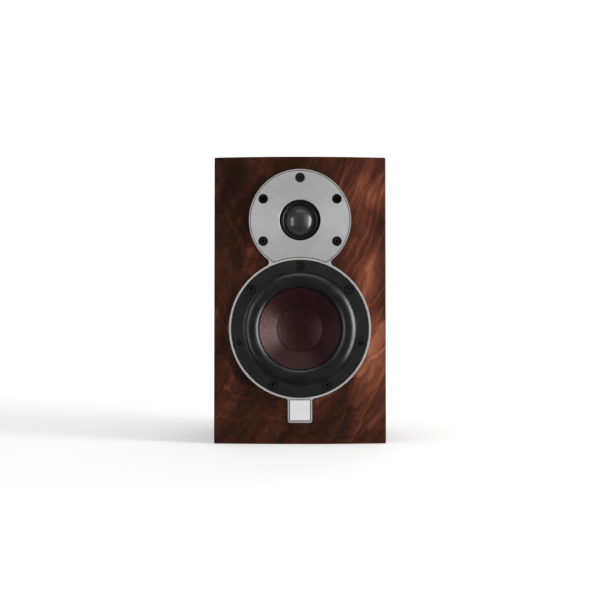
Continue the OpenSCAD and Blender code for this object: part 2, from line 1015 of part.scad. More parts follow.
module post_places() {
    for (x = [-1, 1], z = [-1, 1])
        rearward(x * post_pitch_x / 2, terminal_z + z * post_pitch_z / 2)
            children();
}

module terminal_plate() {
    collar_hole_r = stud_r + 1.2;
    color("black")
    difference() {
        rearward(0, terminal_z)
        linear_extrude(terminal_t)
            rounded_rect(terminal_w, terminal_h, terminal_corner_r);
        post_places()
            rod(collar_hole_r, -cut_extra, terminal_t + cut_extra);
        for (x = [-1, 1], z = [-1, 1])
            rearward(x * terminal_screw_x, terminal_z + z * terminal_screw_z)
                rod(rear_screw_shaft_r + 0.2, -cut_extra, terminal_t + cut_extra);
    }
}

module post_studs() {
    color("gold")
    post_places()
    difference() {
        rod(stud_r, stud_bottom, stud_top);
        rod(banana_r, stud_top - banana_depth, stud_top + cut_extra);
        translate([0, 0, washer_base + 3])
        rotate([0, 90, 0])
            cylinder(r = wire_hole_r, h = 4 * stud_r, center = true);
    }
}

module post_collars() {
    collar_r = 8;
    spigot_r = stud_r + 1.1;
    color("black")
    post_places()
    difference() {
        union() {
            rod(collar_r, terminal_t, link_base);
            rod(spigot_r, 0, terminal_t);
        }
        rod(stud_r, -cut_extra, link_base + cut_extra);
    }
}

module post_nuts() {
    nut_r = 5.7;
    nut_t = 5;
    color("gold")
    post_places()
    difference() {
        translate([0, 0, -nut_t])
            cylinder(r = nut_r, h = nut_t, $fn = 6);
        rod(stud_r, -nut_t - cut_extra, cut_extra);
    }
}

module jumper_links() {
    link_w = 8;
    eye_r = 6;
    color("gold")
    for (side = [-1, 1])
        rearward(side * post_pitch_x / 2, terminal_z)
        translate([0, 0, link_base])
        linear_extrude(link_t)
        difference() {
            union() {
                square([link_w, post_pitch_z], center = true);
                for (z = [-1, 1])
                    translate([0, z * post_pitch_z / 2])
                        circle(r = eye_r);
            }
            for (z = [-1, 1])
                translate([0, z * post_pitch_z / 2])
                    circle(r = stud_r + 0.2);
        }
}

module post_washer(column, row) {
    color("gold")
    rearward(column * post_pitch_x / 2, terminal_z + row * post_pitch_z / 2)
        ring(stud_r + running_gap, washer_r, washer_base, washer_base + washer_t);
}

module washer_treble_positive() {
    post_washer(-1, 1);
}

module washer_treble_negative() {
    post_washer(1, 1);
}

module washer_bass_positive() {
    post_washer(-1, -1);
}

module washer_bass_negative() {
    post_washer(1, -1);
}

module post_knob(column, row, tint) {
    flutes = 16;
    flute_r = 0.9;
    chamfer = 1;
    color(tint)
    rearward(column * post_pitch_x / 2, terminal_z + row * post_pitch_z / 2)
    translate([0, 0, knob_base])
    difference() {
        rotate_extrude()
            polygon([
                [stud_r + running_gap, 0], [knob_r - chamfer, 0], [knob_r, chamfer],
                [knob_r, knob_len - chamfer], [knob_r - chamfer, knob_len], [stud_r + running_gap, knob_len]
            ]);
        for (i = [0:flutes - 1])
            rotate([0, 0, 360 * i / flutes])
            translate([knob_r + 0.35, 0, 2.5 * chamfer])
                cylinder(r = flute_r, h = knob_len);
    }
}

module knob_treble_positive() {
    post_knob(-1, 1, "firebrick");
}

module knob_treble_negative() {
    post_knob(1, 1, "black");
}

module knob_bass_positive() {
    post_knob(-1, -1, "firebrick");
}

module knob_bass_negative() {
    post_knob(1, -1, "black");
}

// ---------------------------------------------------------------- crossover

module board_corners(z) {
    for (x = [-1, 1], y = [-1, 1])
        translate([x * board_hole_x, board_y + y * board_hole_y, z])
            children();
}

module crossover_board() {
    hole_r = 1.7;
    color("darkgreen")
    difference() {
        translate([-board.x / 2, board_y - board.y / 2, board_top - board.z])
            cube(board);
        board_corners(0)
            cylinder(r = hole_r, h = deep);
    }
}

module crossover_standoffs() {
    bore_r = 1.6;
    color("ivory")
    board_corners(panel_t)
    difference() {
        cylinder(r = standoff_r, h = board_lift);
        rod(bore_r, -cut_extra, board_lift + cut_extra);
    }
}

module crossover_screws() {
    head_r = 2.8;
    head_h = 1.9;
    shaft_r = 1.2;
    shaft_len = 14;
    slot = [3.2, 0.7, 1];
    color("silver")
    board_corners(board_top)
    difference() {
        union() {
            cylinder(r = head_r, h = head_h);
            rod(shaft_r, -shaft_len, 0);
        }
        for (turn = [0, 90])
            rotate([0, 0, turn])
            translate([-slot.x / 2, -slot.y / 2, head_h - slot.z])
                cube([slot.x, slot.y, slot.z + cut_extra]);
    }
}

module inductor_bobbins() {
    color("ivory")
    for (coil = inductors)
        translate(coil[0])
        rotate(coil[1])
        difference() {
            union() {
                rod(bobbin_core_r + bobbin_tube_t, 0, coil[3]);
                rod(coil[2], 0, bobbin_flange_t);
                rod(coil[2], coil[3] - bobbin_flange_t, coil[3]);
            }
            rod(bobbin_core_r, -cut_extra, coil[3] + cut_extra);
        }
}

module inductor_windings() {
    color("chocolate")
    for (coil = inductors)
        translate(coil[0])
        rotate(coil[1])
            ring(bobbin_core_r + bobbin_tube_t, coil[2] - 1.2, bobbin_flange_t, coil[3] - bobbin_flange_t);
}

// Lies a part with two bent legs on the board; the legs end on the board's face
module leads(half_len, lift) {
    leg_r = 0.4;
    for (side = [-1, 1]) {
        translate([side * (half_len + 2), 0, 0])
            cylinder(r = leg_r, h = lift + leg_r);
        translate([side * (half_len + 1), 0, lift])
        rotate([0, 90, 0])
            cylinder(r = leg_r, h = 3, center = true);
    }
}

module capacitors() {
    // Radius, length and place of each film capacitor
    sizes = [[7.5, 32, [22, 14.5]], [6.5, 28, [22, 31]]];
    color("gold")
    for (c = sizes)
        translate([c[2].x, c[2].y, board_top]) {
            translate([0, 0, c[0]])
            rotate([0, 90, 0])
                cylinder(r = c[0], h = c[1], center = true);
            leads(c[1] / 2, c[0]);
        }
}

module resistors() {
    body = [20, 8, 8];
    color("whitesmoke")
    for (y = [45, 57.5])
        translate([31, y, board_top]) {
            translate([-body.x / 2, -body.y / 2, 1])
                cube(body);
            leads(body.x / 2, body.z / 2 + 1);
        }
}

// ---------------------------------------------------------------- wires and damping

module wires_positive() {
    color("red")
    for (path = [bass_run, treble_run, bass_input_run, treble_input_run])
        wire(mirrored(path), wire_r);
}

module wires_negative() {
    color("black")
    for (path = [bass_run, treble_run, bass_input_run, treble_input_run])
        wire(path, wire_r);
}

module damping_pads() {
    pad_t = 8;
    margin = 4;
    inner = half_w - panel_t;
    pad_y = baffle_back_y + margin;
    pad_len = rear_y - panel_t - margin - pad_y;
    side_low = 24;
    side_high = cab_h - 24;
    color("lightgray") {
        for (x = [-inner, inner - pad_t])
            translate([x, pad_y, side_low])
                cube([pad_t, pad_len, side_high - side_low]);
        translate([-inner + pad_t + 1, pad_y, cab_h - panel_t - pad_t])
            cube([2 * (inner - pad_t - 1), pad_len, pad_t]);
    }
}

front_baffle();
side_panel_left();
side_panel_right();
top_panel();
bottom_panel();
rear_panel();
trim_plate();
badge_plate();
grille_sockets();
driver_screws();
tweeter_faceplate();
tweeter_gasket();
tweeter_ring();
tweeter_surround();
tweeter_dome();
tweeter_voice_coil();
tweeter_top_plate();
tweeter_magnet();
tweeter_yoke();
tweeter_rear_chamber();
tweeter_terminals();
woofer_basket();
woofer_gasket();
woofer_surround();
woofer_cone();
woofer_dust_cap();
woofer_former();
woofer_winding();
woofer_spider();
woofer_top_plate();
woofer_magnet();
woofer_yoke();
woofer_terminals();
woofer_tinsel_leads();
reflex_port();
wall_hanger();
rear_screws();
terminal_plate();
post_studs();
post_collars();
post_nuts();
jumper_links();
washer_treble_positive();
washer_treble_negative();
washer_bass_positive();
washer_bass_negative();
knob_treble_positive();
knob_treble_negative();
knob_bass_positive();
knob_bass_negative();
crossover_board();
crossover_standoffs();
crossover_screws();
inductor_bobbins();
inductor_windings();
capacitors();
resistors();
wires_positive();
wires_negative();
damping_pads();
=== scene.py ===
import math

import bmesh
import bpy
import numpy as np
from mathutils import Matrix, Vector


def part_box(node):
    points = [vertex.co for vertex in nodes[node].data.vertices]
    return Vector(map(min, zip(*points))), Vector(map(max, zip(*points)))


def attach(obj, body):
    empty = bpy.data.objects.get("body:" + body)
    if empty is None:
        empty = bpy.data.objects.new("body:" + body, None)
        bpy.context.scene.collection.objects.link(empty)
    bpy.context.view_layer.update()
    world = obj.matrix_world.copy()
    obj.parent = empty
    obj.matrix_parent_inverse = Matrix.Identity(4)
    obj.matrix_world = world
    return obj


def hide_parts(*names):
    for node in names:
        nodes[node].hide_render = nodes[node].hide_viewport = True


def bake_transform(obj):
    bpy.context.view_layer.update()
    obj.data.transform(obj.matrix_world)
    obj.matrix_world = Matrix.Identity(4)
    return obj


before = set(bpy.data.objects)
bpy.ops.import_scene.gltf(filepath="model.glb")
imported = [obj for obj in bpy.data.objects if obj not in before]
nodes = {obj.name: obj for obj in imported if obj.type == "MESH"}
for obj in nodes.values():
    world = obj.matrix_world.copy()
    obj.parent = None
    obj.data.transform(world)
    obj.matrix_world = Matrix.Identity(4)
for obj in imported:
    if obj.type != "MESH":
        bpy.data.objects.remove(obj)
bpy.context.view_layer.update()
scene = bpy.context.scene
MM = 0.001

# ---------------------------------------------------------------- places from the frame
front_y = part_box("front_baffle")[0].y
rear_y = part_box("rear_panel")[1].y
face_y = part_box("trim_plate")[0].y
half_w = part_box("front_baffle")[1].x
cab_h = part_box("top_panel")[1].z


def middle(node):
    """The middle of a node's box."""
    low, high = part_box(node)
    return (low + high) / 2


woofer_z = middle("woofer_cone").z
tweeter_z = middle("tweeter_dome").z

# ---------------------------------------------------------------- camera
camera_data = bpy.data.cameras.new("camera")
camera_data.lens = 72.6
camera_data.sensor_width = 36
camera_data.clip_end = 50
camera = bpy.data.objects.new("camera", camera_data)
camera.location = (0, -1.15, 0.094)
camera.rotation_euler = (math.radians(91.68), 0, 0)
scene.collection.objects.link(camera)
scene.camera = camera


# ---------------------------------------------------------------- mesh helpers
def mesh_object(name, bm, body, smooth_deg=35):
    """Turns a bmesh into a piece that rides on a body, smooth but for edges sharper than smooth_deg."""
    mesh = bpy.data.meshes.new(name)
    bmesh.ops.recalc_face_normals(bm, faces=bm.faces)
    bm.to_mesh(mesh)
    bm.free()
    mesh.shade_smooth()
    mesh.set_sharp_from_angle(angle=math.radians(smooth_deg))
    piece = bpy.data.objects.new(name, mesh)
    scene.collection.objects.link(piece)
    if body:
        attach(piece, body)
    return piece


def turned(bm, profile, place, turns=192, wobble=None):
    """Adds a closed turned form: the profile is a loop of (radius, height) in metres, and
    place(radius, angle, height) gives the point in the frame."""
    rings = []
    for r, h in profile:
        if r < 1e-7:
            rings.append([bm.verts.new(place(0, 0, h))])
            continue
        ring = []
        for k in range(turns):
            a = 2 * math.pi * k / turns
            grown = r + (wobble(r, a, h) if wobble else 0)
            ring.append(bm.verts.new(place(grown, a, h)))
        rings.append(ring)
    count = len(rings)
    for i in range(count):
        a, b = rings[i], rings[(i + 1) % count]
        if len(a) == 1 and len(b) == 1:
            continue
        for k in range(turns):
            n = (k + 1) % turns
            if len(a) == 1:
                bm.faces.new((a[0], b[k], b[n]))
            elif len(b) == 1:
                bm.faces.new((a[k], b[0], a[n]))
            else:
                bm.faces.new((a[k], b[k], b[n], a[n]))


def forwards(z):
    """Places on a drive unit's axis at height z, with heights forwards from the trim's face."""
    return lambda r, a, h: (r * math.cos(a), face_y - h, z + r * math.sin(a))


def backwards(x, z):
    """Places on an axis out of the back at (x, z), with heights measured from y = 0."""
    return lambda r, a, h: (x + r * math.cos(a), h, z + r * math.sin(a))


def in_metres(profile):
    """A profile in mm, changed to metres."""
    return [(r * MM, h * MM) for r, h in profile]


def lathe(name, profile_mm, place, body, turns=192, wobble=None, smooth_deg=35):
    """A piece turned from one closed profile in mm."""
    bm = bmesh.new()
    turned(bm, in_metres(profile_mm), place, turns, wobble)
    return mesh_object(name, bm, body, smooth_deg)


def sheet(front, thickness):
    """The closed profile of a thin sheet: its front line, and the same line the thickness behind."""
    return front + [(r, s - thickness) for r, s in front[::-1]]


def smoothed(path, steps):
    """A smooth curve through the points of a path."""
    points = [Vector(p) for p in path]
    points = [2 * points[0] - points[1]] + points + [2 * points[-1] - points[-2]]
    out = []
    for i in range(1, len(points) - 2):
        a, b, c, d = points[i - 1 : i + 3]
        for k in range(steps):
            t = k / steps
            bend = (2 * a - 5 * b + 4 * c - d) * t**2
            twist = (3 * b - a - 3 * c + d) * t**3
            out.append(0.5 * (2 * b + (c - a) * t + bend + twist))
    return out + [points[-2]]


def tube(bm, path, radius, sides=12, twist=0.0, lobes=0, depth=0.0):
    """Adds a closed round tube along a path; lobes and twist give it a stranded surface."""
    up = None
    rings = []
    for i, p in enumerate(path):
        t = (path[min(i + 1, len(path) - 1)] - path[max(i - 1, 0)]).normalized()
        if up is None:
            up = t.orthogonal().normalized()
        up = (up - t * up.dot(t)).normalized()
        side = t.cross(up)
        ring = []
        for k in range(sides):
            a = 2 * math.pi * k / sides
            r = radius + (depth * math.cos(lobes * a + twist * i) if lobes else 0)
            ring.append(bm.verts.new(p + r * (up * math.cos(a) + side * math.sin(a))))
        rings.append(ring)
    for a, b in zip(rings, rings[1:]):
        for k in range(sides):
            n = (k + 1) % sides
            bm.faces.new((a[k], a[n], b[n], b[k]))
    bm.faces.new(rings[0][::-1])
    bm.faces.new(rings[-1])


def radial_blend(piece):
    """A round sheet, with its placing baked into its mesh."""
    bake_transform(piece)


# ---------------------------------------------------------------- material helpers
class Look:
    """A material with shorthand for its nodes."""

    def __init__(self, name, rough=0.5, metal=0.0, coat=0.0, coat_rough=0.05, spec=0.5):
        self.material = bpy.data.materials.new(name)
        self.material.use_nodes = True
        self.tree = self.material.node_tree
        self.shader = self.tree.nodes["Principled BSDF"]
        self.shader.inputs["Roughness"].default_value = rough
        self.shader.inputs["Metallic"].default_value = metal
        self.shader.inputs["Coat Weight"].default_value = coat
        self.shader.inputs["Coat Roughness"].default_value = coat_rough
        self.shader.inputs["Specular IOR Level"].default_value = spec
        self.place = self.add("ShaderNodeTexCoord").outputs["Object"]

    def add(self, kind, **settings):
        node = self.tree.nodes.new(kind)
        for key, value in settings.items():
            setattr(node, key, value)
        return node

    def feed(self, socket, value):
        if isinstance(value, bpy.types.NodeSocket):
            self.tree.links.new(value, socket)
        else:
            socket.default_value = value

    def math(self, operation, a, b=0.0, c=0.0):
        node = self.add("ShaderNodeMath", operation=operation)
        for socket, value in zip(node.inputs, (a, b, c)):
            self.feed(socket, value)
        return node.outputs[0]

    def plus(self, a, b):
        return self.math("ADD", a, b)

    def minus(self, a, b):
        return self.math("SUBTRACT", a, b)

    def times(self, a, b):
        return self.math("MULTIPLY", a, b)

    def fused(self, a, b, c):
        """a times b, plus c."""
        return self.math("MULTIPLY_ADD", a, b, c)

    def length(self, a, b):
        """The length of a line whose sides are a and b."""
        squares = [self.math("POWER", side, 2.0) for side in (a, b)]
        return self.math("SQRT", self.plus(*squares))

    def scaled(self, vector, factors):
        node = self.add("ShaderNodeVectorMath", operation="MULTIPLY")
        self.feed(node.inputs[0], vector)
        node.inputs[1].default_value = factors
        return node.outputs[0]

    def joined(self, x, y, z):
        node = self.add("ShaderNodeCombineXYZ")
        for socket, value in zip(node.inputs, (x, y, z)):
            self.feed(socket, value)
        return node.outputs[0]

    def parts(self, vector):
        node = self.add("ShaderNodeSeparateXYZ")
        self.feed(node.inputs[0], vector)
        return node.outputs

    def noise(self, vector, scale, detail=3.0, rough=0.55):
        node = self.add("ShaderNodeTexNoise")
        self.feed(node.inputs["Vector"], vector)
        node.inputs["Scale"].default_value = scale
        node.inputs["Detail"].default_value = detail
        node.inputs["Roughness"].default_value = rough
        return node.outputs["Fac"]

    def line_noise(self, value, detail=3.0, rough=0.55):
        node = self.add("ShaderNodeTexNoise", noise_dimensions="1D")
        self.feed(node.inputs["W"], value)
        node.inputs["Scale"].default_value = 1.0
        node.inputs["Detail"].default_value = detail
        node.inputs["Roughness"].default_value = rough
        return node.outputs["Fac"]

    def ramp(self, factor, stops):
        node = self.add("ShaderNodeValToRGB")
        self.feed(node.inputs["Fac"], factor)
        elements = node.color_ramp.elements
        while len(elements) < len(stops):
            elements.new(0.5)
        for element, (at, colour) in zip(elements, stops):
            element.position = at
            element.color = (*colour, 1)
        return node.outputs["Color"]

    def range(self, value, from_low, from_high, low, high, smooth=False):
        node = self.add("ShaderNodeMapRange")
        if smooth:
            node.interpolation_type = "SMOOTHSTEP"
        self.feed(node.inputs["Value"], value)
        for key, number in (
            ("From Min", from_low), ("From Max", from_high), ("To Min", low), ("To Max", high),
        ):
            node.inputs[key].default_value = number
        return node.outputs[0]

    def mixed(self, factor, a, b):
        node = self.add("ShaderNodeMix", data_type="RGBA")
        self.feed(node.inputs["Factor"], factor)
        for socket, value in ((node.inputs[6], a), (node.inputs[7], b)):
            self.feed(socket, (*value, 1) if isinstance(value, tuple) else value)
        return node.outputs[2]

    def colour(self, value):
        self.feed(self.shader.inputs["Base Color"], value)

    def roughness(self, value):
        self.feed(self.shader.inputs["Roughness"], value)

    def bump(self, height, distance, strength=1.0):
        node = self.add("ShaderNodeBump")
        node.inputs["Strength"].default_value = strength
        node.inputs["Distance"].default_value = distance
        self.feed(node.inputs["Height"], height)
        self.feed(self.shader.inputs["Normal"], node.outputs[0])


def moulded(name, dark, light, rough, spec=0.5, grain=900, depth=0.00004, coat=0.0, metal=0.0):
    """Moulded plastic or rubber, or a powder coat: a fine grain, faint cloudiness and handling marks."""
    look = Look(name, rough, metal=metal, coat=coat, coat_rough=0.2, spec=spec)
    cloud = look.noise(look.place, 60, 4)
    fine = look.noise(look.place, grain * 2, 2)
    mottle = look.fused(fine, 0.3, look.times(cloud, 0.7))
    look.colour(look.ramp(mottle, [(0.35, dark), (0.65, light)]))
    look.roughness(look.range(look.noise(look.place, 150, 5), 0.3, 0.7, rough - 0.06, rough + 0.08))
    look.bump(look.noise(look.place, grain, 3), depth, 0.6)
    return look.material


def metalled(name, dark, light, rough, brush=(1, 1, 1), scale=600, depth=0.00001, metal=1.0, coat=0.0):
    """Bare or plated metal, with brush or turning lines where brush is stretched, and fine scratches."""
    look = Look(name, rough, metal=metal, coat=coat)
    lines = look.noise(look.scaled(look.place, brush), scale, 4, 0.6)
    cloud = look.noise(look.place, 90, 4)
    mottle = look.fused(lines, 0.55, look.times(cloud, 0.45))
    look.colour(look.ramp(mottle, [(0.33, dark), (0.67, light)]))
    look.roughness(look.range(lines, 0.3, 0.7, rough - 0.07, rough + 0.09))
    look.bump(lines, depth, 0.5)
    return look.material


def socket_screw():
    """Blackened steel, worn grey on the head's face, with painted shade making it black down in the hexagon.
    """
    look = Look("black_steel_screws", rough=0.34, metal=0.7, spec=0.8)
    y = look.parts(look.place)["Y"]
    # painted shade: the colour turns black below the head's face, down in the hexagon recess
    down = look.range(y, face_y + 0.55 * MM, face_y + 0.9 * MM, 0, 1)
    cloud = look.noise(look.place, 700, 4)
    worn = look.ramp(cloud, [(0.3, (0.015, 0.015, 0.0155)), (0.7, (0.030, 0.030, 0.0315))])
    look.colour(look.mixed(down, worn, (0.0015, 0.0015, 0.0016)))
    look.roughness(look.range(cloud, 0.3, 0.7, 0.28, 0.42))
    look.bump(look.noise(look.place, 2500, 3), 0.00003, 0.5)
    return look.material


def socket_rubber():
    """Matt black rubber; the lower pair of sockets are grey down inside."""
    look = Look("socket_rubber", rough=0.7, spec=0.2)
    _, y, z = look.parts(look.place)
    cloud = look.noise(look.place, 60, 4)
    black = look.ramp(cloud, [(0.35, (0.006, 0.006, 0.006)), (0.65, (0.014, 0.014, 0.014))])
    lower = look.range(z, woofer_z + 30 * MM, woofer_z + 60 * MM, 1, 0)
    inside = look.range(y, face_y + 0.7 * MM, face_y + 1.6 * MM, 0, 1)
    look.colour(look.mixed(look.times(lower, inside), black, (0.11, 0.11, 0.112)))
    look.roughness(look.range(look.noise(look.place, 150, 5), 0.3, 0.7, 0.64, 0.78))
    look.bump(look.noise(look.place, 900, 3), 0.00004, 0.6)
    return look.material


def satin_trim():
    """Satin cast trim, with painted shade darkening it down in the fine groove round the badge."""
    look = Look("trim_alloy", rough=0.42, metal=0.45)
    lines = look.noise(look.place, 1600, 4, 0.6)
    cloud = look.noise(look.place, 90, 4)
    mottle = look.fused(lines, 0.55, look.times(cloud, 0.45))
    satin = look.ramp(mottle, [(0.33, (0.47, 0.455, 0.44)), (0.67, (0.61, 0.59, 0.57))])
    x, _, z = look.parts(look.place)
    low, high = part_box("badge_plate")
    up = look.minus(z, (low.z + high.z) / 2)
    out_x = look.minus(look.math("ABSOLUTE", x), high.x)
    out_z = look.minus(look.math("ABSOLUTE", up), (high.z - low.z) / 2)
    # painted shade: dark colour within 0.5 to 0.75 mm of the badge, down in its groove
    groove = look.range(look.math("MAXIMUM", out_x, out_z), 0.50 * MM, 0.75 * MM, 1, 0)
    look.colour(look.mixed(groove, satin, (0.045, 0.043, 0.041)))
    look.roughness(look.range(lines, 0.3, 0.7, 0.35, 0.51))
    look.bump(lines, 0.00001, 0.5)
    return look.material


def spun_plate():
    """Satin aluminium finely turned about the tweeter's axis."""
    look = Look("faceplate_alloy", rough=0.42, metal=0.55)
    x, _, z = look.parts(look.place)
    up = look.minus(z, tweeter_z)
    r = look.length(x, up)
    lines = look.line_noise(look.times(r, 9000), 2, 0.6)
    cloud = look.noise(look.place, 120, 4)
    mottle = look.fused(lines, 0.5, look.times(cloud, 0.5))
    look.colour(look.ramp(mottle, [(0.3, (0.520, 0.520, 0.522)), (0.7, (0.630, 0.630, 0.633))]))
    look.roughness(look.range(lines, 0.3, 0.7, 0.38, 0.48))
    look.shader.inputs["Anisotropic"].default_value = 0.4
    look.feed(look.shader.inputs["Tangent"], look.joined(x, 0.0, up))
    look.bump(lines, 0.000004, 0.4)
    return look.material


def walnut():
    """Figured dark veneer under a thin lacquer. The grain runs up the front, sides and back, and from
    front to back over the top and base. It is drawn on a flat sheet (u, v) that wraps each face."""
    look = Look("walnut_veneer", rough=0.55, coat=0.08, coat_rough=0.14, spec=0.05)
    x, y, z = look.parts(look.place)
    normal = look.parts(look.add("ShaderNodeNewGeometry").outputs["Normal"])
    side = look.math("GREATER_THAN", look.math("ABSOLUTE", normal[0]), 0.7)
    flat = look.math("GREATER_THAN", look.math("ABSOLUTE", normal[2]), 0.7)
    side_shift, flat_shift, layer_gap = 0.31, 0.17, 0.35
    across = look.plus(x, look.times(side, look.plus(look.minus(y, x), side_shift)))
    along = look.plus(z, look.times(flat, look.plus(look.minus(y, z), flat_shift)))
    layer = look.times(look.plus(side, flat), layer_gap)
    at = look.joined(across, layer, along)
    warp_a = look.noise(look.scaled(at, (9, 7, 6)), 1, 3, 0.5)
    warp_b = look.noise(look.scaled(at, (34, 9, 22)), 1, 3, 0.55)
    u = look.fused(look.minus(warp_a, 0.5), 0.075, look.fused(look.minus(warp_b, 0.5), 0.022, across))
    v = look.fused(look.minus(warp_b, 0.5), 0.06, along)
    lean = look.fused(look.minus(v, 0.16), -0.42, u)
    ring = look.length(look.plus(u, 0.022), look.times(look.minus(v, 0.275), 0.62))
    rings = look.line_noise(look.times(ring, 240), 3, 0.6)
    patch = look.noise(look.scaled(look.joined(u, layer, v), (19, 9, 12)), 1, 4, 0.6)

    def grain(over, up, detail, rough):
        """Figure drawn out along the leaning grain, with so many waves per metre over and up."""
        return look.noise(look.joined(look.times(lean, over), layer, look.times(v, up)), 1, detail, rough)

    wide = grain(48, 13, 3, 0.55)
    streak = grain(210, 16, 3, 0.6)
    fibre = grain(1500, 60, 2, 0.5)

    def patch_at(cx, cz, rx, rz, amount):
        """A soft oval patch that is lighter or darker by the amount."""
        d = look.length(look.math("DIVIDE", look.minus(u, cx), rx),
                        look.math("DIVIDE", look.minus(v, cz), rz))
        return look.range(d, 0.0, 1.0, amount, 0.0, smooth=True)

    tone = look.times(rings, 0.14)
    for value, weight in ((wide, 0.27), (patch, 0.39), (streak, 0.12), (fibre, 0.08)):
        tone = look.fused(value, weight, tone)
    for place in (
        (0.056, 0.085, 0.040, 0.085, 0.19),
        (0.066, 0.235, 0.040, 0.045, 0.06),
        (0.064, 0.155, 0.030, 0.050, 0.12),
        (-0.068, 0.125, 0.020, 0.050, 0.05),
        (-0.070, 0.045, 0.020, 0.040, 0.10),
        (-0.020, 0.225, 0.070, 0.040, -0.02),
        (-0.050, 0.190, 0.035, 0.055, -0.05),
        (-0.035, 0.020, 0.050, 0.030, 0.02),
    ):
        tone = look.plus(tone, patch_at(*place))
    look.colour(look.ramp(tone, [
        (0.36, (0.0100, 0.0042, 0.0026)),
        (0.46, (0.0230, 0.0082, 0.0046)),
        (0.54, (0.0520, 0.0150, 0.0084)),
        (0.61, (0.1300, 0.0370, 0.0200)),
        (0.73, (0.3300, 0.1220, 0.0660)),
    ]))
    look.roughness(look.range(streak, 0.3, 0.7, 0.44, 0.58))
    look.bump(look.plus(fibre, look.times(streak, 0.6)), 0.00002, 0.35)
    return look.material


def woven(name, dark, light, pitch, rough, depth, sheen, spec=0.4, planar=True, shine=0.0, edge=None):
    """Cloth of crossing threads, pitch apart, coated or bare, varying slightly from thread to thread.
    The tweeter's dome takes the lighter edge colour towards its rim, as painted light over the rim's shade."""
    look = Look(name, rough, spec=spec, coat=shine, coat_rough=0.20)
    x, y, z = look.parts(look.place)
    count = 2 * math.pi / pitch
    other = z if planar else y
    waves = look.times(look.math("SINE", look.times(x, count)), look.math("SINE", look.times(other, count)))
    slub = look.noise(look.scaled(look.place, (1, 1, 6)), 500, 3)
    colour = look.ramp(look.fused(waves, 0.2, slub), [(0.3, dark), (0.72, light)])
    # painted light: the dome's outer zone is coloured lighter where its steep rim would fall into shade
    if edge:
        up = look.minus(z, tweeter_z)
        r = look.length(x, up)
        rim_painted_light = look.range(r, 8 * MM, 12.5 * MM, 0, 1, smooth=True)
        on_dome = look.range(r, 13.3 * MM, 13.8 * MM, 1, 0)
        colour = look.mixed(look.times(rim_painted_light, on_dome), colour, edge)
    look.colour(colour)
    look.roughness(look.range(slub, 0.3, 0.7, rough - 0.05, rough + 0.07))
    look.shader.inputs["Sheen Weight"].default_value = sheen
    look.shader.inputs["Sheen Roughness"].default_value = 0.4
    look.bump(waves, depth, 0.5)
    return look.material


def fibre_pulp():
    """Cone paper: dark red-brown pulp with fine wood fibres lying all ways, finely pressed."""
    look = Look("cone_fibre", rough=0.42, spec=0.38)
    look.shader.inputs["Specular Tint"].default_value = (1.0, 0.66, 0.66, 1)
    x, _, z = look.parts(look.place)
    fibres = None
    for turn, seed in ((0.3, 0.0), (1.25, 3.1), (2.3, 7.7)):
        c, s = math.cos(turn), math.sin(turn)
        a = look.plus(look.times(x, c), look.times(z, s))
        b = look.minus(look.times(z, c), look.times(x, s))
        drawn_out = look.joined(look.times(a, 190), seed, look.times(b, 2600))
        one = look.noise(drawn_out, 1, 2, 0.5)
        one = look.range(one, 0.55, 0.75, 0, 1)
        fibres = one if fibres is None else look.math("MAXIMUM", fibres, one)
    pulp = look.noise(look.place, 420, 5, 0.65)
    base = look.ramp(pulp, [(0.3, (0.0085, 0.0020, 0.0024)), (0.7, (0.0240, 0.0056, 0.0062))])
    look.colour(look.mixed(look.times(fibres, 0.3), base, (0.060, 0.022, 0.021)))
    look.roughness(look.range(pulp, 0.3, 0.7, 0.36, 0.48))
    look.bump(look.fused(fibres, 0.5, pulp), 0.00006, 0.5)
    return look.material


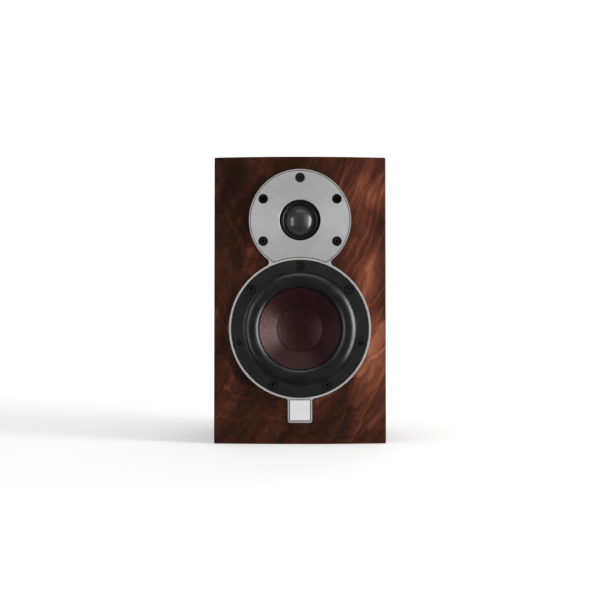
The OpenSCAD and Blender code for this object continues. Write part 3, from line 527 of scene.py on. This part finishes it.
looks = {
    "walnut_veneer": walnut(),
    "trim_alloy": satin_trim(),
    "badge_alloy": metalled(
        "badge_alloy", (0.70, 0.70, 0.71), (0.81, 0.81, 0.82),
        0.42, (40, 1, 1), 60, metal=0.2,
    ),
    "faceplate_alloy": spun_plate(),
    "socket_rubber": socket_rubber(),
    "black_steel": moulded("black_steel", (0.020, 0.020, 0.021), (0.040, 0.040, 0.042), 0.34, 0.8, metal=0.7),
    # the edge colour is painted light on the dome's rim
    "dome_cloth": woven(
        "dome_cloth", (0.007, 0.007, 0.0072), (0.015, 0.015, 0.0155),
        0.00030, 0.42, 0.00003, 0.10, spec=0.8, shine=1.0, edge=(0.062, 0.062, 0.063),
    ),
    "ring_plastic": moulded("ring_plastic", (0.005, 0.005, 0.005), (0.009, 0.009, 0.009), 0.5, 0.25),
    "surround_rubber": moulded("surround_rubber", (0.005, 0.005, 0.0052), (0.010, 0.010, 0.0104), 0.34, 0.6),
    "cone_fibre": fibre_pulp(),
    "basket_metal": moulded(
        "basket_metal", (0.0062, 0.0066, 0.0066), (0.0118, 0.0122, 0.0122),
        0.50, 0.3, 1500,
    ),
    "foam_gasket": moulded(
        "foam_gasket", (0.010, 0.010, 0.010), (0.030, 0.030, 0.030),
        0.9, 0.2, 1100, 0.0003,
    ),
    "former_foil": metalled(
        "former_foil", (0.42, 0.24, 0.10), (0.62, 0.38, 0.17),
        0.3, (1, 8, 1), 300, metal=0.7,
    ),
    "copper_wire": metalled("copper_wire", (0.50, 0.17, 0.08), (0.72, 0.28, 0.13), 0.28, scale=500, coat=0.5),
    "spider_cloth": woven("spider_cloth", (0.30, 0.22, 0.10), (0.52, 0.40, 0.20), 0.0007, 0.8, 0.0001, 0.3),
    "ferrite": moulded("ferrite", (0.030, 0.030, 0.032), (0.060, 0.060, 0.063), 0.55, 0.4, 700, 0.0001),
    "motor_steel": metalled("motor_steel", (0.45, 0.45, 0.46), (0.66, 0.66, 0.67), 0.34, scale=350),
    "chamber_plastic": moulded("chamber_plastic", (0.010, 0.010, 0.011), (0.022, 0.022, 0.024), 0.5),
    "terminal_tabs": metalled("terminal_tabs", (0.50, 0.42, 0.20), (0.75, 0.62, 0.32), 0.3, (1, 20, 1), 200),
    "port_plastic": moulded("port_plastic", (0.009, 0.009, 0.009), (0.020, 0.020, 0.020), 0.42, 0.5),
    "hanger_steel": moulded(
        "hanger_steel", (0.012, 0.012, 0.013), (0.030, 0.030, 0.032),
        0.4, 0.5, metal=0.5,
    ),
    "terminal_plastic": moulded(
        "terminal_plastic", (0.009, 0.009, 0.010), (0.019, 0.019, 0.020),
        0.38, 0.5, 1200, 0.00006,
    ),
    "gold_plate": metalled("gold_plate", (0.72, 0.46, 0.14), (0.90, 0.62, 0.24), 0.2, scale=420),
    "collar_plastic": moulded("collar_plastic", (0.010, 0.010, 0.010), (0.022, 0.022, 0.022), 0.36),
    "knob_red": moulded("knob_red", (0.30, 0.010, 0.008), (0.45, 0.022, 0.016), 0.3, 0.5),
    "knob_black": moulded("knob_black", (0.008, 0.008, 0.008), (0.018, 0.018, 0.018), 0.3, 0.5),
    "board_laminate": moulded(
        "board_laminate", (0.010, 0.075, 0.030), (0.020, 0.120, 0.050),
        0.35, 0.5, 2600,
    ),
    "white_nylon": moulded("white_nylon", (0.62, 0.61, 0.56), (0.74, 0.73, 0.69), 0.45),
    "zinc_steel": metalled("zinc_steel", (0.50, 0.51, 0.54), (0.72, 0.73, 0.77), 0.26, scale=300),
    "capacitor_film": moulded("capacitor_film", (0.48, 0.30, 0.05), (0.66, 0.44, 0.10), 0.22, 0.5, coat=0.5),
    "resistor_ceramic": moulded(
        "resistor_ceramic", (0.66, 0.65, 0.61), (0.80, 0.79, 0.76),
        0.75, 0.3, 500, 0.0001,
    ),
    "wire_red": moulded("wire_red", (0.33, 0.010, 0.010), (0.48, 0.020, 0.018), 0.35),
    "wire_black": moulded("wire_black", (0.008, 0.008, 0.008), (0.020, 0.020, 0.020), 0.38),
    "wadding": woven(
        "wadding", (0.45, 0.45, 0.44), (0.70, 0.70, 0.68),
        0.0031, 0.95, 0.0009, 0.6, planar=False,
    ),
}


def dress(piece, slot):
    """Gives a piece its material, and the slot of the same name."""
    piece.data.materials.clear()
    piece.data.materials.append(looks[slot])
    return piece


# ---------------------------------------------------------------- CAD nodes that stay
def carry(slot, names, bevel=0.0, segments=2):
    """Gives CAD nodes their material and, where a bevel in mm is given, eased edges."""
    for name in names:
        node = nodes[name]
        node.data.materials.clear()
        node.data.materials.append(looks[slot])
        if bevel:
            weld = node.modifiers.new("weld", "WELD")
            weld.merge_threshold = 1e-6
            whole = node.modifiers.new("whole", "DECIMATE")
            whole.decimate_type = "DISSOLVE"
            whole.angle_limit = math.radians(0.3)
            cut = node.modifiers.new("bevel", "BEVEL")
            cut.width = bevel * MM
            cut.segments = segments
            cut.limit_method = "ANGLE"
            cut.angle_limit = math.radians(40)
            flats = node.modifiers.new("flats", "WEIGHTED_NORMAL")
            flats.keep_sharp = True
            flats.weight = 100


carry("trim_alloy", ["trim_plate"], 0.12)
carry("badge_alloy", ["badge_plate"], 0.15)
carry("faceplate_alloy", ["tweeter_faceplate"])
carry("socket_rubber", ["grille_sockets"])
carry("black_steel", ["driver_screws"], 0.25)
nodes["driver_screws"].data.materials[0] = socket_screw()
carry("ring_plastic", ["tweeter_ring"])
carry("basket_metal", ["woofer_basket"])
carry("foam_gasket", ["woofer_gasket", "tweeter_gasket"])
carry("former_foil", ["woofer_former"])
carry("ferrite", ["woofer_magnet", "tweeter_magnet"], 0.8)
carry("motor_steel", ["woofer_top_plate", "woofer_yoke", "tweeter_top_plate", "tweeter_yoke"], 0.5)
carry("chamber_plastic", ["tweeter_rear_chamber"], 0.8)
carry("terminal_tabs", ["woofer_terminals", "tweeter_terminals"])
carry("port_plastic", ["reflex_port"])
carry("hanger_steel", ["wall_hanger"])
carry("black_steel", ["rear_screws"])
carry("terminal_plastic", ["terminal_plate"], 0.8, 3)
carry("gold_plate", ["post_studs", "post_nuts", "jumper_links"])
carry("collar_plastic", ["post_collars"], 0.4)
carry("board_laminate", ["crossover_board"])
carry("white_nylon", ["crossover_standoffs", "inductor_bobbins"])
carry("zinc_steel", ["crossover_screws"])
carry("resistor_ceramic", ["resistors"], 0.3)

# ---------------------------------------------------------------- cabinet
EDGE = 1.2 * MM
INSET = 0.08 * MM
BULGE_DROP = 6 * MM
CORNER_STEPS = 8


def cabinet_envelope():
    """The cabinet's outer form with its round front and eased edges."""
    drop = BULGE_DROP
    curve_r = (half_w**2 + drop**2) / (2 * drop)
    centre_y = front_y + curve_r
    inner_r = curve_r - EDGE - INSET
    edge_x = half_w - INSET - EDGE
    back = rear_y - INSET - EDGE
    limit = math.asin(edge_x / inner_r)
    rim = []
    steps = 96
    for i in range(steps + 1):
        a = limit * (2 * i / steps - 1)
        n = Vector((math.sin(a), -math.cos(a)))
        rim.append((Vector((inner_r * n.x, centre_y + inner_r * n.y)), n))
    front_corner_y = centre_y - inner_r * math.cos(limit)

    def corner(cx, cy, a0, a1):
        for i in range(1, CORNER_STEPS):
            a = math.radians(a0 + (a1 - a0) * i / CORNER_STEPS)
            rim.append((Vector((cx, cy)), Vector((math.cos(a), math.sin(a)))))

    tilt = math.degrees(limit)
    corner(edge_x, front_corner_y, -90 + tilt, 0)
    rim.append((Vector((edge_x, front_corner_y)), Vector((1, 0))))
    rim.append((Vector((edge_x, back)), Vector((1, 0))))
    corner(edge_x, back, 0, 90)
    rim.append((Vector((edge_x, back)), Vector((0, 1))))
    rim.append((Vector((-edge_x, back)), Vector((0, 1))))
    corner(-edge_x, back, 90, 180)
    rim.append((Vector((-edge_x, back)), Vector((-1, 0))))
    rim.append((Vector((-edge_x, front_corner_y)), Vector((-1, 0))))
    corner(-edge_x, front_corner_y, 180, 270 - tilt)
    levels = []
    for i in range(CORNER_STEPS + 1):
        a = math.radians(-90 + 90 * i / CORNER_STEPS)
        levels.append((INSET + EDGE + EDGE * math.sin(a), EDGE * math.cos(a)))
    for i in range(CORNER_STEPS + 1):
        a = math.radians(90 * i / CORNER_STEPS)
        levels.append((cab_h - INSET - EDGE + EDGE * math.sin(a), EDGE * math.cos(a)))
    bm = bmesh.new()
    rings = [
        [bm.verts.new((c.x + n.x * out, c.y + n.y * out, z)) for c, n in rim] for z, out in levels
    ]
    count = len(rim)
    for a, b in zip(rings, rings[1:]):
        for k in range(count):
            n = (k + 1) % count
            bm.faces.new((a[k], a[n], b[n], b[k]))
    bm.faces.new(rings[0][::-1])
    bm.faces.new(rings[-1])
    bmesh.ops.remove_doubles(bm, verts=bm.verts, dist=1e-7)
    piece = mesh_object("envelope", bm, None)
    return piece, curve_r, centre_y


envelope, curve_r, centre_y = cabinet_envelope()


def joined_copy(name, node):
    """A copy of a CAD node's mesh with its split corners joined."""
    bm = bmesh.new()
    bm.from_mesh(nodes[node].data)
    bmesh.ops.remove_doubles(bm, verts=bm.verts, dist=2e-7)
    bmesh.ops.dissolve_limit(
        bm, angle_limit=math.radians(0.05), verts=bm.verts, edges=bm.edges, delimit=set()
    )
    return mesh_object(name, bm, None)


def trimmed_panel(node):
    """A panel cut to the cabinet's outer form, and veneered."""
    piece = joined_copy("cabinet_" + node, node)
    cut = piece.modifiers.new("ease", "BOOLEAN")
    cut.operation = "INTERSECT"
    cut.solver = "EXACT"
    cut.object = envelope
    graph = bpy.context.evaluated_depsgraph_get()
    mesh = bpy.data.meshes.new_from_object(piece.evaluated_get(graph))
    piece.modifiers.clear()
    piece.data = mesh
    mesh.shade_smooth()
    mesh.set_sharp_from_angle(angle=math.radians(25))
    if node == "front_baffle":
        round_front_normals(mesh)
    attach(piece, "cabinet")
    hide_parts(node)
    dress(piece, "walnut_veneer")


def round_front_normals(mesh):
    """Gives the round front its exact normals, so that the lacquer reflects without facets."""
    normals = np.array([c.vector for c in mesh.corner_normals], float)
    co = np.array([v.co for v in mesh.vertices], float)
    for face in mesh.polygons:
        p = co[list(face.vertices)]
        off = np.hypot(p[:, 0], p[:, 1] - centre_y) - (curve_r - INSET)
        if face.normal.y < -0.9 and np.abs(off).max() < 2e-5:
            for corner in face.loop_indices:
                v = co[mesh.loops[corner].vertex_index]
                n = np.array([v[0], v[1] - centre_y, 0])
                normals[corner] = n / np.linalg.norm(n)
    mesh.normals_split_custom_set(normals.tolist())


for panel in ("front_baffle", "side_panel_left", "side_panel_right", "top_panel", "bottom_panel"):
    trimmed_panel(panel)
bpy.data.objects.remove(envelope)
carry("walnut_veneer", ["rear_panel"])

# ---------------------------------------------------------------- woofer
CONE_NECK_R, CONE_DEPTH, CONE_T = 13.0, 15.0, 0.7
CAP_DEPTH, RUBBER_T, SPIDER_T = 4.0, 0.68, 0.5
SPIDER_WAVES, SPIDER_LOW = 4, -26.0
cone_rim_r = (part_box("woofer_cone")[1].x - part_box("woofer_cone")[0].x) / 2 / MM
cone_rim_s = (face_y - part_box("woofer_cone")[0].y) / MM
cap_r = (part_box("woofer_dust_cap")[1].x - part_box("woofer_dust_cap")[0].x) / 2 / MM
lip_s = cone_rim_s - 0.8
crest_s = (face_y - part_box("woofer_surround")[0].y) / MM


def cone_at(r):
    """The height of the cone's front at a radius: a nearly straight flare."""
    share = max((r - CONE_NECK_R) / (cone_rim_r - CONE_NECK_R), 0)
    return cone_rim_s - CONE_DEPTH * (1 - share**0.92)


woofer = forwards(woofer_z)
cone_radii = [CONE_NECK_R + (cone_rim_r - CONE_NECK_R) * i / 56 for i in range(57)]
cone_line = [(r, cone_at(r)) for r in cone_radii]
cone = lathe("woofer_paper_cone", sheet(cone_line, CONE_T), woofer, "woofer_motion", 256)
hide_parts("woofer_cone")
dress(cone, "cone_fibre")

cap_rim = cone_at(cap_r) + CONE_T
cap_line = [(cap_r * i / 40, cap_rim - CAP_DEPTH * (1 - (i / 40) ** 2)) for i in range(41)]
cap = lathe("woofer_concave_cap", sheet(cap_line, RUBBER_T), woofer, "woofer_motion", 192)
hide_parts("woofer_dust_cap")
dress(cap, "cone_fibre")

surround_out, bead_out, bead_s = 48.7, 49.4, -0.3
roll_in = cone_rim_r + 0.3
roll_mid, roll_half = (surround_out + roll_in) / 2, (surround_out - roll_in) / 2
lip_r = cone_rim_r - 2.5


def roll_at(share):
    """A point on the surround's half roll, from its inner foot to its outer one."""
    a = math.pi * share
    return roll_mid - roll_half * math.cos(a), lip_s + (crest_s - lip_s) * math.sin(a)


lip = [(r, cone_at(r) - 0.8) for r in (lip_r, lip_r + 1.2)] + [(roll_in - 0.25, lip_s - 0.02)]
arch = [roll_at(i / 44) for i in range(45)]
bead_line = [(48.02, -0.16), (48.35, -0.27), (48.8, bead_s), (bead_out - 0.12, bead_s)]
bead_line += [(bead_out, bead_s - 0.12), (bead_out, lip_s - RUBBER_T)]
rubber_back = [(r, s - RUBBER_T) for r, s in (lip + arch)[::-1]]
profile = lip + arch[:36] + bead_line + rubber_back
surround = lathe("woofer_rubber_surround", profile, woofer, None, 256, smooth_deg=60)
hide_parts("woofer_surround")
dress(surround, "surround_rubber")
radial_blend(surround)

pleats = []
for i in range(97):
    turn = 2 * SPIDER_WAVES * math.pi * i / 96
    pleats.append((13.1 + 16.9 * i / 96, SPIDER_LOW + 1.1 * math.sin(turn)))
pleats += [(31.5, SPIDER_LOW), (33.5, SPIDER_LOW)]
spider = lathe("woofer_pleated_spider", sheet(pleats, SPIDER_T), woofer, None, 160, smooth_deg=60)
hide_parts("woofer_spider")
dress(spider, "spider_cloth")
radial_blend(spider)


def wound(inner, outer, low, high, pitch):
    """The profile of a winding: an outer face of round turns, pitch apart."""
    turns = int(round((high - low) / pitch))
    step = (high - low) / turns
    points = [(inner, high), (inner, low)]
    for i in range(turns):
        for k in range(6):
            a = math.pi * (k + 0.5) / 6
            r = outer - step / 2 + step / 2 * math.sin(a)
            points.append((r, low + step * (i + 0.5) - step / 2 * math.cos(a)))
    return points


winding_low, winding_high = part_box("woofer_winding")
coil = lathe(
    "woofer_copper_winding",
    wound(13.0, 13.7, (face_y - winding_high.y) / MM, (face_y - winding_low.y) / MM, 0.42),
    woofer, "woofer_motion", 96, smooth_deg=80,
)
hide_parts("woofer_winding")
dress(coil, "copper_wire")

# ---------------------------------------------------------------- tweeter
tweeter = forwards(tweeter_z)
dome_r, dome_base, silk_t = 14.0, -8.0, 0.33
dome_h = (face_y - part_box("tweeter_dome")[0].y) / MM - dome_base
ball = (dome_r**2 + dome_h**2) / (2 * dome_h)
sweep = math.asin(dome_r / ball)
dome_angles = [sweep * i / 48 for i in range(49)]
dome_line = [(ball * math.sin(a), dome_base + dome_h - ball * (1 - math.cos(a))) for a in dome_angles]
dome = lathe("tweeter_silk_dome", sheet(dome_line, silk_t), tweeter, "tweeter_motion", 192)
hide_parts("tweeter_dome")
dress(dome, "dome_cloth")

half_turn = [math.pi * i / 20 for i in range(21)]
small_roll = [(14.95 - 0.75 * math.cos(a), dome_base + 0.8 * math.sin(a)) for a in half_turn]
small_roll += [(16.4, dome_base), (18.0, dome_base)]
dome_edge = lathe("tweeter_silk_surround", sheet(small_roll, silk_t), tweeter, None, 160, smooth_deg=60)
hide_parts("tweeter_surround")
dress(dome_edge, "dome_cloth")
radial_blend(dome_edge)

treble_coil_low, treble_coil_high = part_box("tweeter_voice_coil")
treble_coil = lathe(
    "tweeter_copper_coil",
    wound(13.7, 14.1, (face_y - treble_coil_high.y) / MM, (face_y - treble_coil_low.y) / MM, 0.3),
    tweeter, "tweeter_motion", 96, smooth_deg=80,
)
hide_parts("tweeter_voice_coil")
dress(treble_coil, "copper_wire")

# ---------------------------------------------------------------- binding posts
FLUTES = 16
KNOB_R, FLUTE_START = 7.0, 2.4


def fluted(depth_mm, low, high):
    """A radius change that cuts round flutes into a sleeve between two heights."""

    def change(r, a, h):
        h = h / MM
        share = min(max((h - low) / 0.8, 0), 1) * min(max((high - h) / 0.3, 0), 1)
        if r < 6.2 * MM or share == 0:
            return 0
        dip = max(math.cos(FLUTES * a), 0) ** 2
        return -depth_mm * MM * dip * share

    return change


for row in ("treble", "bass"):
    for pole, tint in (("positive", "knob_red"), ("negative", "knob_black")):
        post = f"{row}_{pole}"
        low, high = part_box("knob_" + post)
        x, z = (low.x + high.x) / 2, (low.z + high.z) / 2
        y0, y1 = low.y / MM, high.y / MM
        place = backwards(x, z)
        sleeve = [(4.6, y0 + 0.4), (6.0, y0 + 0.4), (6.6, y0 + 0.7), (KNOB_R, y0 + 1.4)]
        sleeve += [(KNOB_R, y0 + FLUTE_START + 0.5 * i) for i in range(3)]
        sleeve += [(KNOB_R, y0 + 4.5), (KNOB_R, y0 + 8), (KNOB_R, y1 - 2.5), (KNOB_R, y1 - 1.2)]
        sleeve += [(6.75, y1 - 0.6), (6.2, y1 - 0.25), (5.6, y1 - 0.2), (5.2, y1 - 0.5), (4.6, y1 - 0.6)]
        flutes = fluted(0.75, y0 + FLUTE_START, y1 + 1)
        grip = lathe("grip_sleeve_" + post, sleeve, place, "grip_" + post, 256, flutes, 30)
        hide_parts("knob_" + post)
        dress(grip, tint)
        core = [(3.05, y0), (5.4, y0), (5.6, y0 + 0.2), (5.6, y0 + 0.38), (4.58, y0 + 0.38), (4.58, y1 - 0.5)]
        core += [(4.4, y1 - 0.1), (4.2, y1), (3.45, y1), (3.05, y1 - 0.4)]
        insert = lathe("grip_core_" + post, core, place, "grip_" + post, 96, smooth_deg=30)
        dress(insert, "gold_plate")
        carry("gold_plate", ["washer_" + post], 0.2)

# ---------------------------------------------------------------- crossover's parts
board_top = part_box("crossover_board")[1].z


def upright(r, a, h):
    """The bass coil stands on the board."""
    return -0.027 + r * math.cos(a), 0.037 + r * math.sin(a), board_top + h


def lying(r, a, h):
    """The treble coil lies along x."""
    return 0.001 + h, 0.054 + r * math.cos(a), board_top + 0.012 + r * math.sin(a)


bm = bmesh.new()
turned(bm, in_metres(wound(7.25, 16.6, 1.25, 15.75, 0.95)), upright, 96)
turned(bm, in_metres(wound(7.25, 10.6, 1.25, 12.75, 0.72)), lying, 96)
windings = mesh_object("inductor_copper_windings", bm, "cabinet", 80)
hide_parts("inductor_windings")
dress(windings, "copper_wire")


def capacitor(bm, r, length, px, py):
    """A wrapped can lying along x with dished ends, and its two bent leads."""
    half = length / 2
    body = [(0, -half + 0.9), (r - 2.6, -half + 0.7), (r - 1.9, -half), (r - 0.5, -half), (r, -half + 0.6)]
    body += [(r, -half / 2), (r, 0), (r, half / 2), (r, half - 0.6), (r - 0.5, half), (r - 1.9, half)]
    body += [(r - 2.6, half - 0.7), (0, half - 0.9)]

    def along_x(q, a, h):
        return px * MM + h, py * MM + q * math.cos(a), board_top + r * MM + q * math.sin(a)

    turned(bm, in_metres(body), along_x, 64)
    lead = [(half - 0.95, r), (half + 1.0, r), (half + 1.75, r - 0.35), (half + 2, r - 1.2), (half + 2, 0.05)]
    for side in (-1, 1):
        path = [((px + side * out) * MM, py * MM, board_top + up * MM) for out, up in lead]
        tube(bm, smoothed(path, 6), 0.4 * MM, 10)


bm = bmesh.new()
capacitor(bm, 7.5, 32, 22, 14.5)
capacitor(bm, 6.5, 28, 22, 31)
caps = mesh_object("film_capacitors", bm, "cabinet", 40)
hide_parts("capacitors")
dress(caps, "capacitor_film")

# ---------------------------------------------------------------- wires
WIRE_R, STRAND_R, STRAND_DEPTH = 1.05 * MM, 0.52 * MM, 0.07 * MM
RUNS = [
    [(6, -70.1, 56), (6, -66, 56), (7, -58, 52), (9, -46, 46), (11, -32, 39), (13, -16, 31),
     (14, -3, 25), (14, 3.5, 22.8), (14, 6, 21.3), (14, 6, 19.62)],
    [(5, -41, 194.4), (5, -36, 193), (7, -30, 184), (10, -26, 160), (14, -22, 120), (19, -18, 75),
     (22, -12, 42), (23, -4, 27), (23, 3.5, 22.8), (23, 6, 21.3), (23, 6, 19.62)],
    [(20, 85.9, 51), (20, 83, 51), (20.5, 80, 48), (22, 76, 38), (24, 71, 27), (24, 67.5, 22.8),
     (24, 66, 21.3), (24, 66, 19.62)],
    [(20, 85.9, 81), (20, 83, 81), (21, 80.5, 79), (27, 77, 64), (32, 74, 42), (34, 71, 28),
     (34, 67.5, 22.8), (34, 66, 21.3), (34, 66, 19.62)],
]
for pole, side, tint in (("positive", -1, "wire_red"), ("negative", 1, "wire_black")):
    bm = bmesh.new()
    for run in RUNS:
        tube(bm, smoothed([(side * x * MM, y * MM, z * MM) for x, y, z in run], 8), WIRE_R, 14)
    loom = mesh_object("inner_wires_" + pole, bm, "cabinet", 60)
    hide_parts("wires_" + pole)
    dress(loom, tint)

TINSEL = [(6, -20, -12.1), (6, -22, -15), (6, -26, -19), (6, -31, -21), (6, -36, -21.5), (6, -40, -23.5),
          (6, -41.5, -27.5), (6, -41.5, -29.9)]
bm = bmesh.new()
for side in (-1, 1):
    run = [(side * x * MM, face_y - s * MM, woofer_z + up * MM) for x, up, s in TINSEL]
    tube(bm, smoothed(run, 14), STRAND_R, 16, twist=0.5, lobes=4, depth=STRAND_DEPTH)
tinsel = mesh_object("woofer_braided_leads", bm, None, 60)
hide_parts("woofer_tinsel_leads")
dress(tinsel, "copper_wire")
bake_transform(tinsel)

# ---------------------------------------------------------------- damping pads
pads_low, pads_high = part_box("damping_pads")


def pad(name, low, high, thin):
    """A sheet of wadding: pulled in at its edges, with soft lumps over its faces."""
    low, high = Vector(low), Vector(high)
    size = high - low
    bm = bmesh.new()
    bmesh.ops.create_grid(bm, x_segments=40, y_segments=40, size=0.5)
    top = bmesh.ops.extrude_face_region(bm, geom=bm.faces[:] + bm.edges[:] + bm.verts[:])
    for item in top["geom"]:
        if isinstance(item, bmesh.types.BMVert):
            item.co.z = 1
    axes = [i for i in range(3) if i != thin]
    for vert in bm.verts:
        u, v, w = vert.co.x + 0.5, vert.co.y + 0.5, vert.co.z
        edge = min(u, 1 - u, v, 1 - v)
        crown = 1 - 0.55 * max(0, 1 - edge / 0.08) ** 2
        lump = 0.05 * math.sin(17 * u + 3 * math.sin(9 * v)) + 0.05 * math.sin(21 * v + 2 * math.sin(13 * u))
        share = 0.5 + (w - 0.5) * (crown - 0.1 + lump * (1 if edge > 0.01 else 0))
        co = [0, 0, 0]
        co[axes[0]] = low[axes[0]] + size[axes[0]] * u
        co[axes[1]] = low[axes[1]] + size[axes[1]] * v
        co[thin] = low[thin] + size[thin] * share
        vert.co = co
    piece = mesh_object(name, bm, "cabinet", 80)
    return dress(piece, "wadding")


PAD_T, PAD_GAP, PAD_END = 8 * MM, 0.001, 0.024
near, far = pads_low.y, pads_high.y
pad_top = cab_h - PAD_END
left_pad = pad("damping_pad_left", (pads_low.x, near, PAD_END), (pads_low.x + PAD_T, far, pad_top), 0)
pad("damping_pad_right", (pads_high.x - PAD_T, near, PAD_END), (pads_high.x, far, pad_top), 0)
top_low = (pads_low.x + PAD_T + PAD_GAP, near, pads_high.z - PAD_T)
pad("damping_pad_top", top_low, (pads_high.x - PAD_T - PAD_GAP, far, pads_high.z), 2)
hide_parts("damping_pads")

# ---------------------------------------------------------------- floor, world and lights
bm = bmesh.new()
bmesh.ops.create_circle(bm, cap_ends=True, segments=96, radius=1.6)
floor = mesh_object("floor", bm, None)
floor.location.z = -0.0002
floor.visible_glossy = False
look = Look("floor_white", rough=0.9, spec=0.0)
fx, fy, _ = look.parts(look.place)
look.shader.inputs["Base Color"].default_value = (0.9, 0.9, 0.9, 1)
look.shader.inputs["Emission Color"].default_value = (1, 1, 1, 1)
look.shader.inputs["Emission Strength"].default_value = 0.27
faded = look.range(look.length(fx, fy), 0.45, 1.5, 1.0, 0.0, smooth=True)
look.feed(look.shader.inputs["Alpha"], faded)
floor.data.materials.append(look.material)

world = bpy.data.worlds.new("studio")
scene.world = world
world.use_nodes = True
tree = world.node_tree
tree.nodes.clear()


def background(strength):
    """A plain white surrounding."""
    node = tree.nodes.new("ShaderNodeBackground")
    node.inputs["Color"].default_value = (1, 1, 1, 1)
    node.inputs["Strength"].default_value = strength
    return node.outputs[0]


def either(switch, usual, chosen):
    """One shader, or the chosen one where the switch is on."""
    node = tree.nodes.new("ShaderNodeMixShader")
    for socket, source in zip(node.inputs, (switch, usual, chosen)):
        tree.links.new(source, socket)
    return node.outputs[0]


rays = tree.nodes.new("ShaderNodeLightPath").outputs
dim_or_fill = either(rays["Is Glossy Ray"], background(0.22), background(0.05))
lit = either(rays["Is Camera Ray"], dim_or_fill, background(1.05))
tree.links.new(lit, tree.nodes.new("ShaderNodeOutputWorld").inputs[0])
LIGHT_AIM = Vector((0, -0.1, 0.125))


def softbox(name, azimuth, height, distance, size, power):
    """A rectangular soft light; azimuth is measured from the front, positive to the right."""
    data = bpy.data.lights.new(name, "AREA")
    data.shape = "RECTANGLE"
    data.size, data.size_y = size
    data.energy = power
    light = bpy.data.objects.new(name, data)
    a = math.radians(azimuth)
    light.location = (distance * math.sin(a), LIGHT_AIM.y - distance * math.cos(a), height)
    light.rotation_euler = (LIGHT_AIM - light.location).to_track_quat("-Z", "Y").to_euler()
    scene.collection.objects.link(light)


softbox("wide_right", 63, 0.13, 1.3, (0.66, 1.3), 28)
softbox("strip_left", -42, 0.13, 1.5, (0.32, 1.1), 6)
softbox("top_soft", 10, 1.9, 0.45, (1.6, 1.6), 11)
softbox("back_soft", 180, 1.2, 1.8, (1.6, 1.2), 16)

scene.view_settings.view_transform = "Standard"
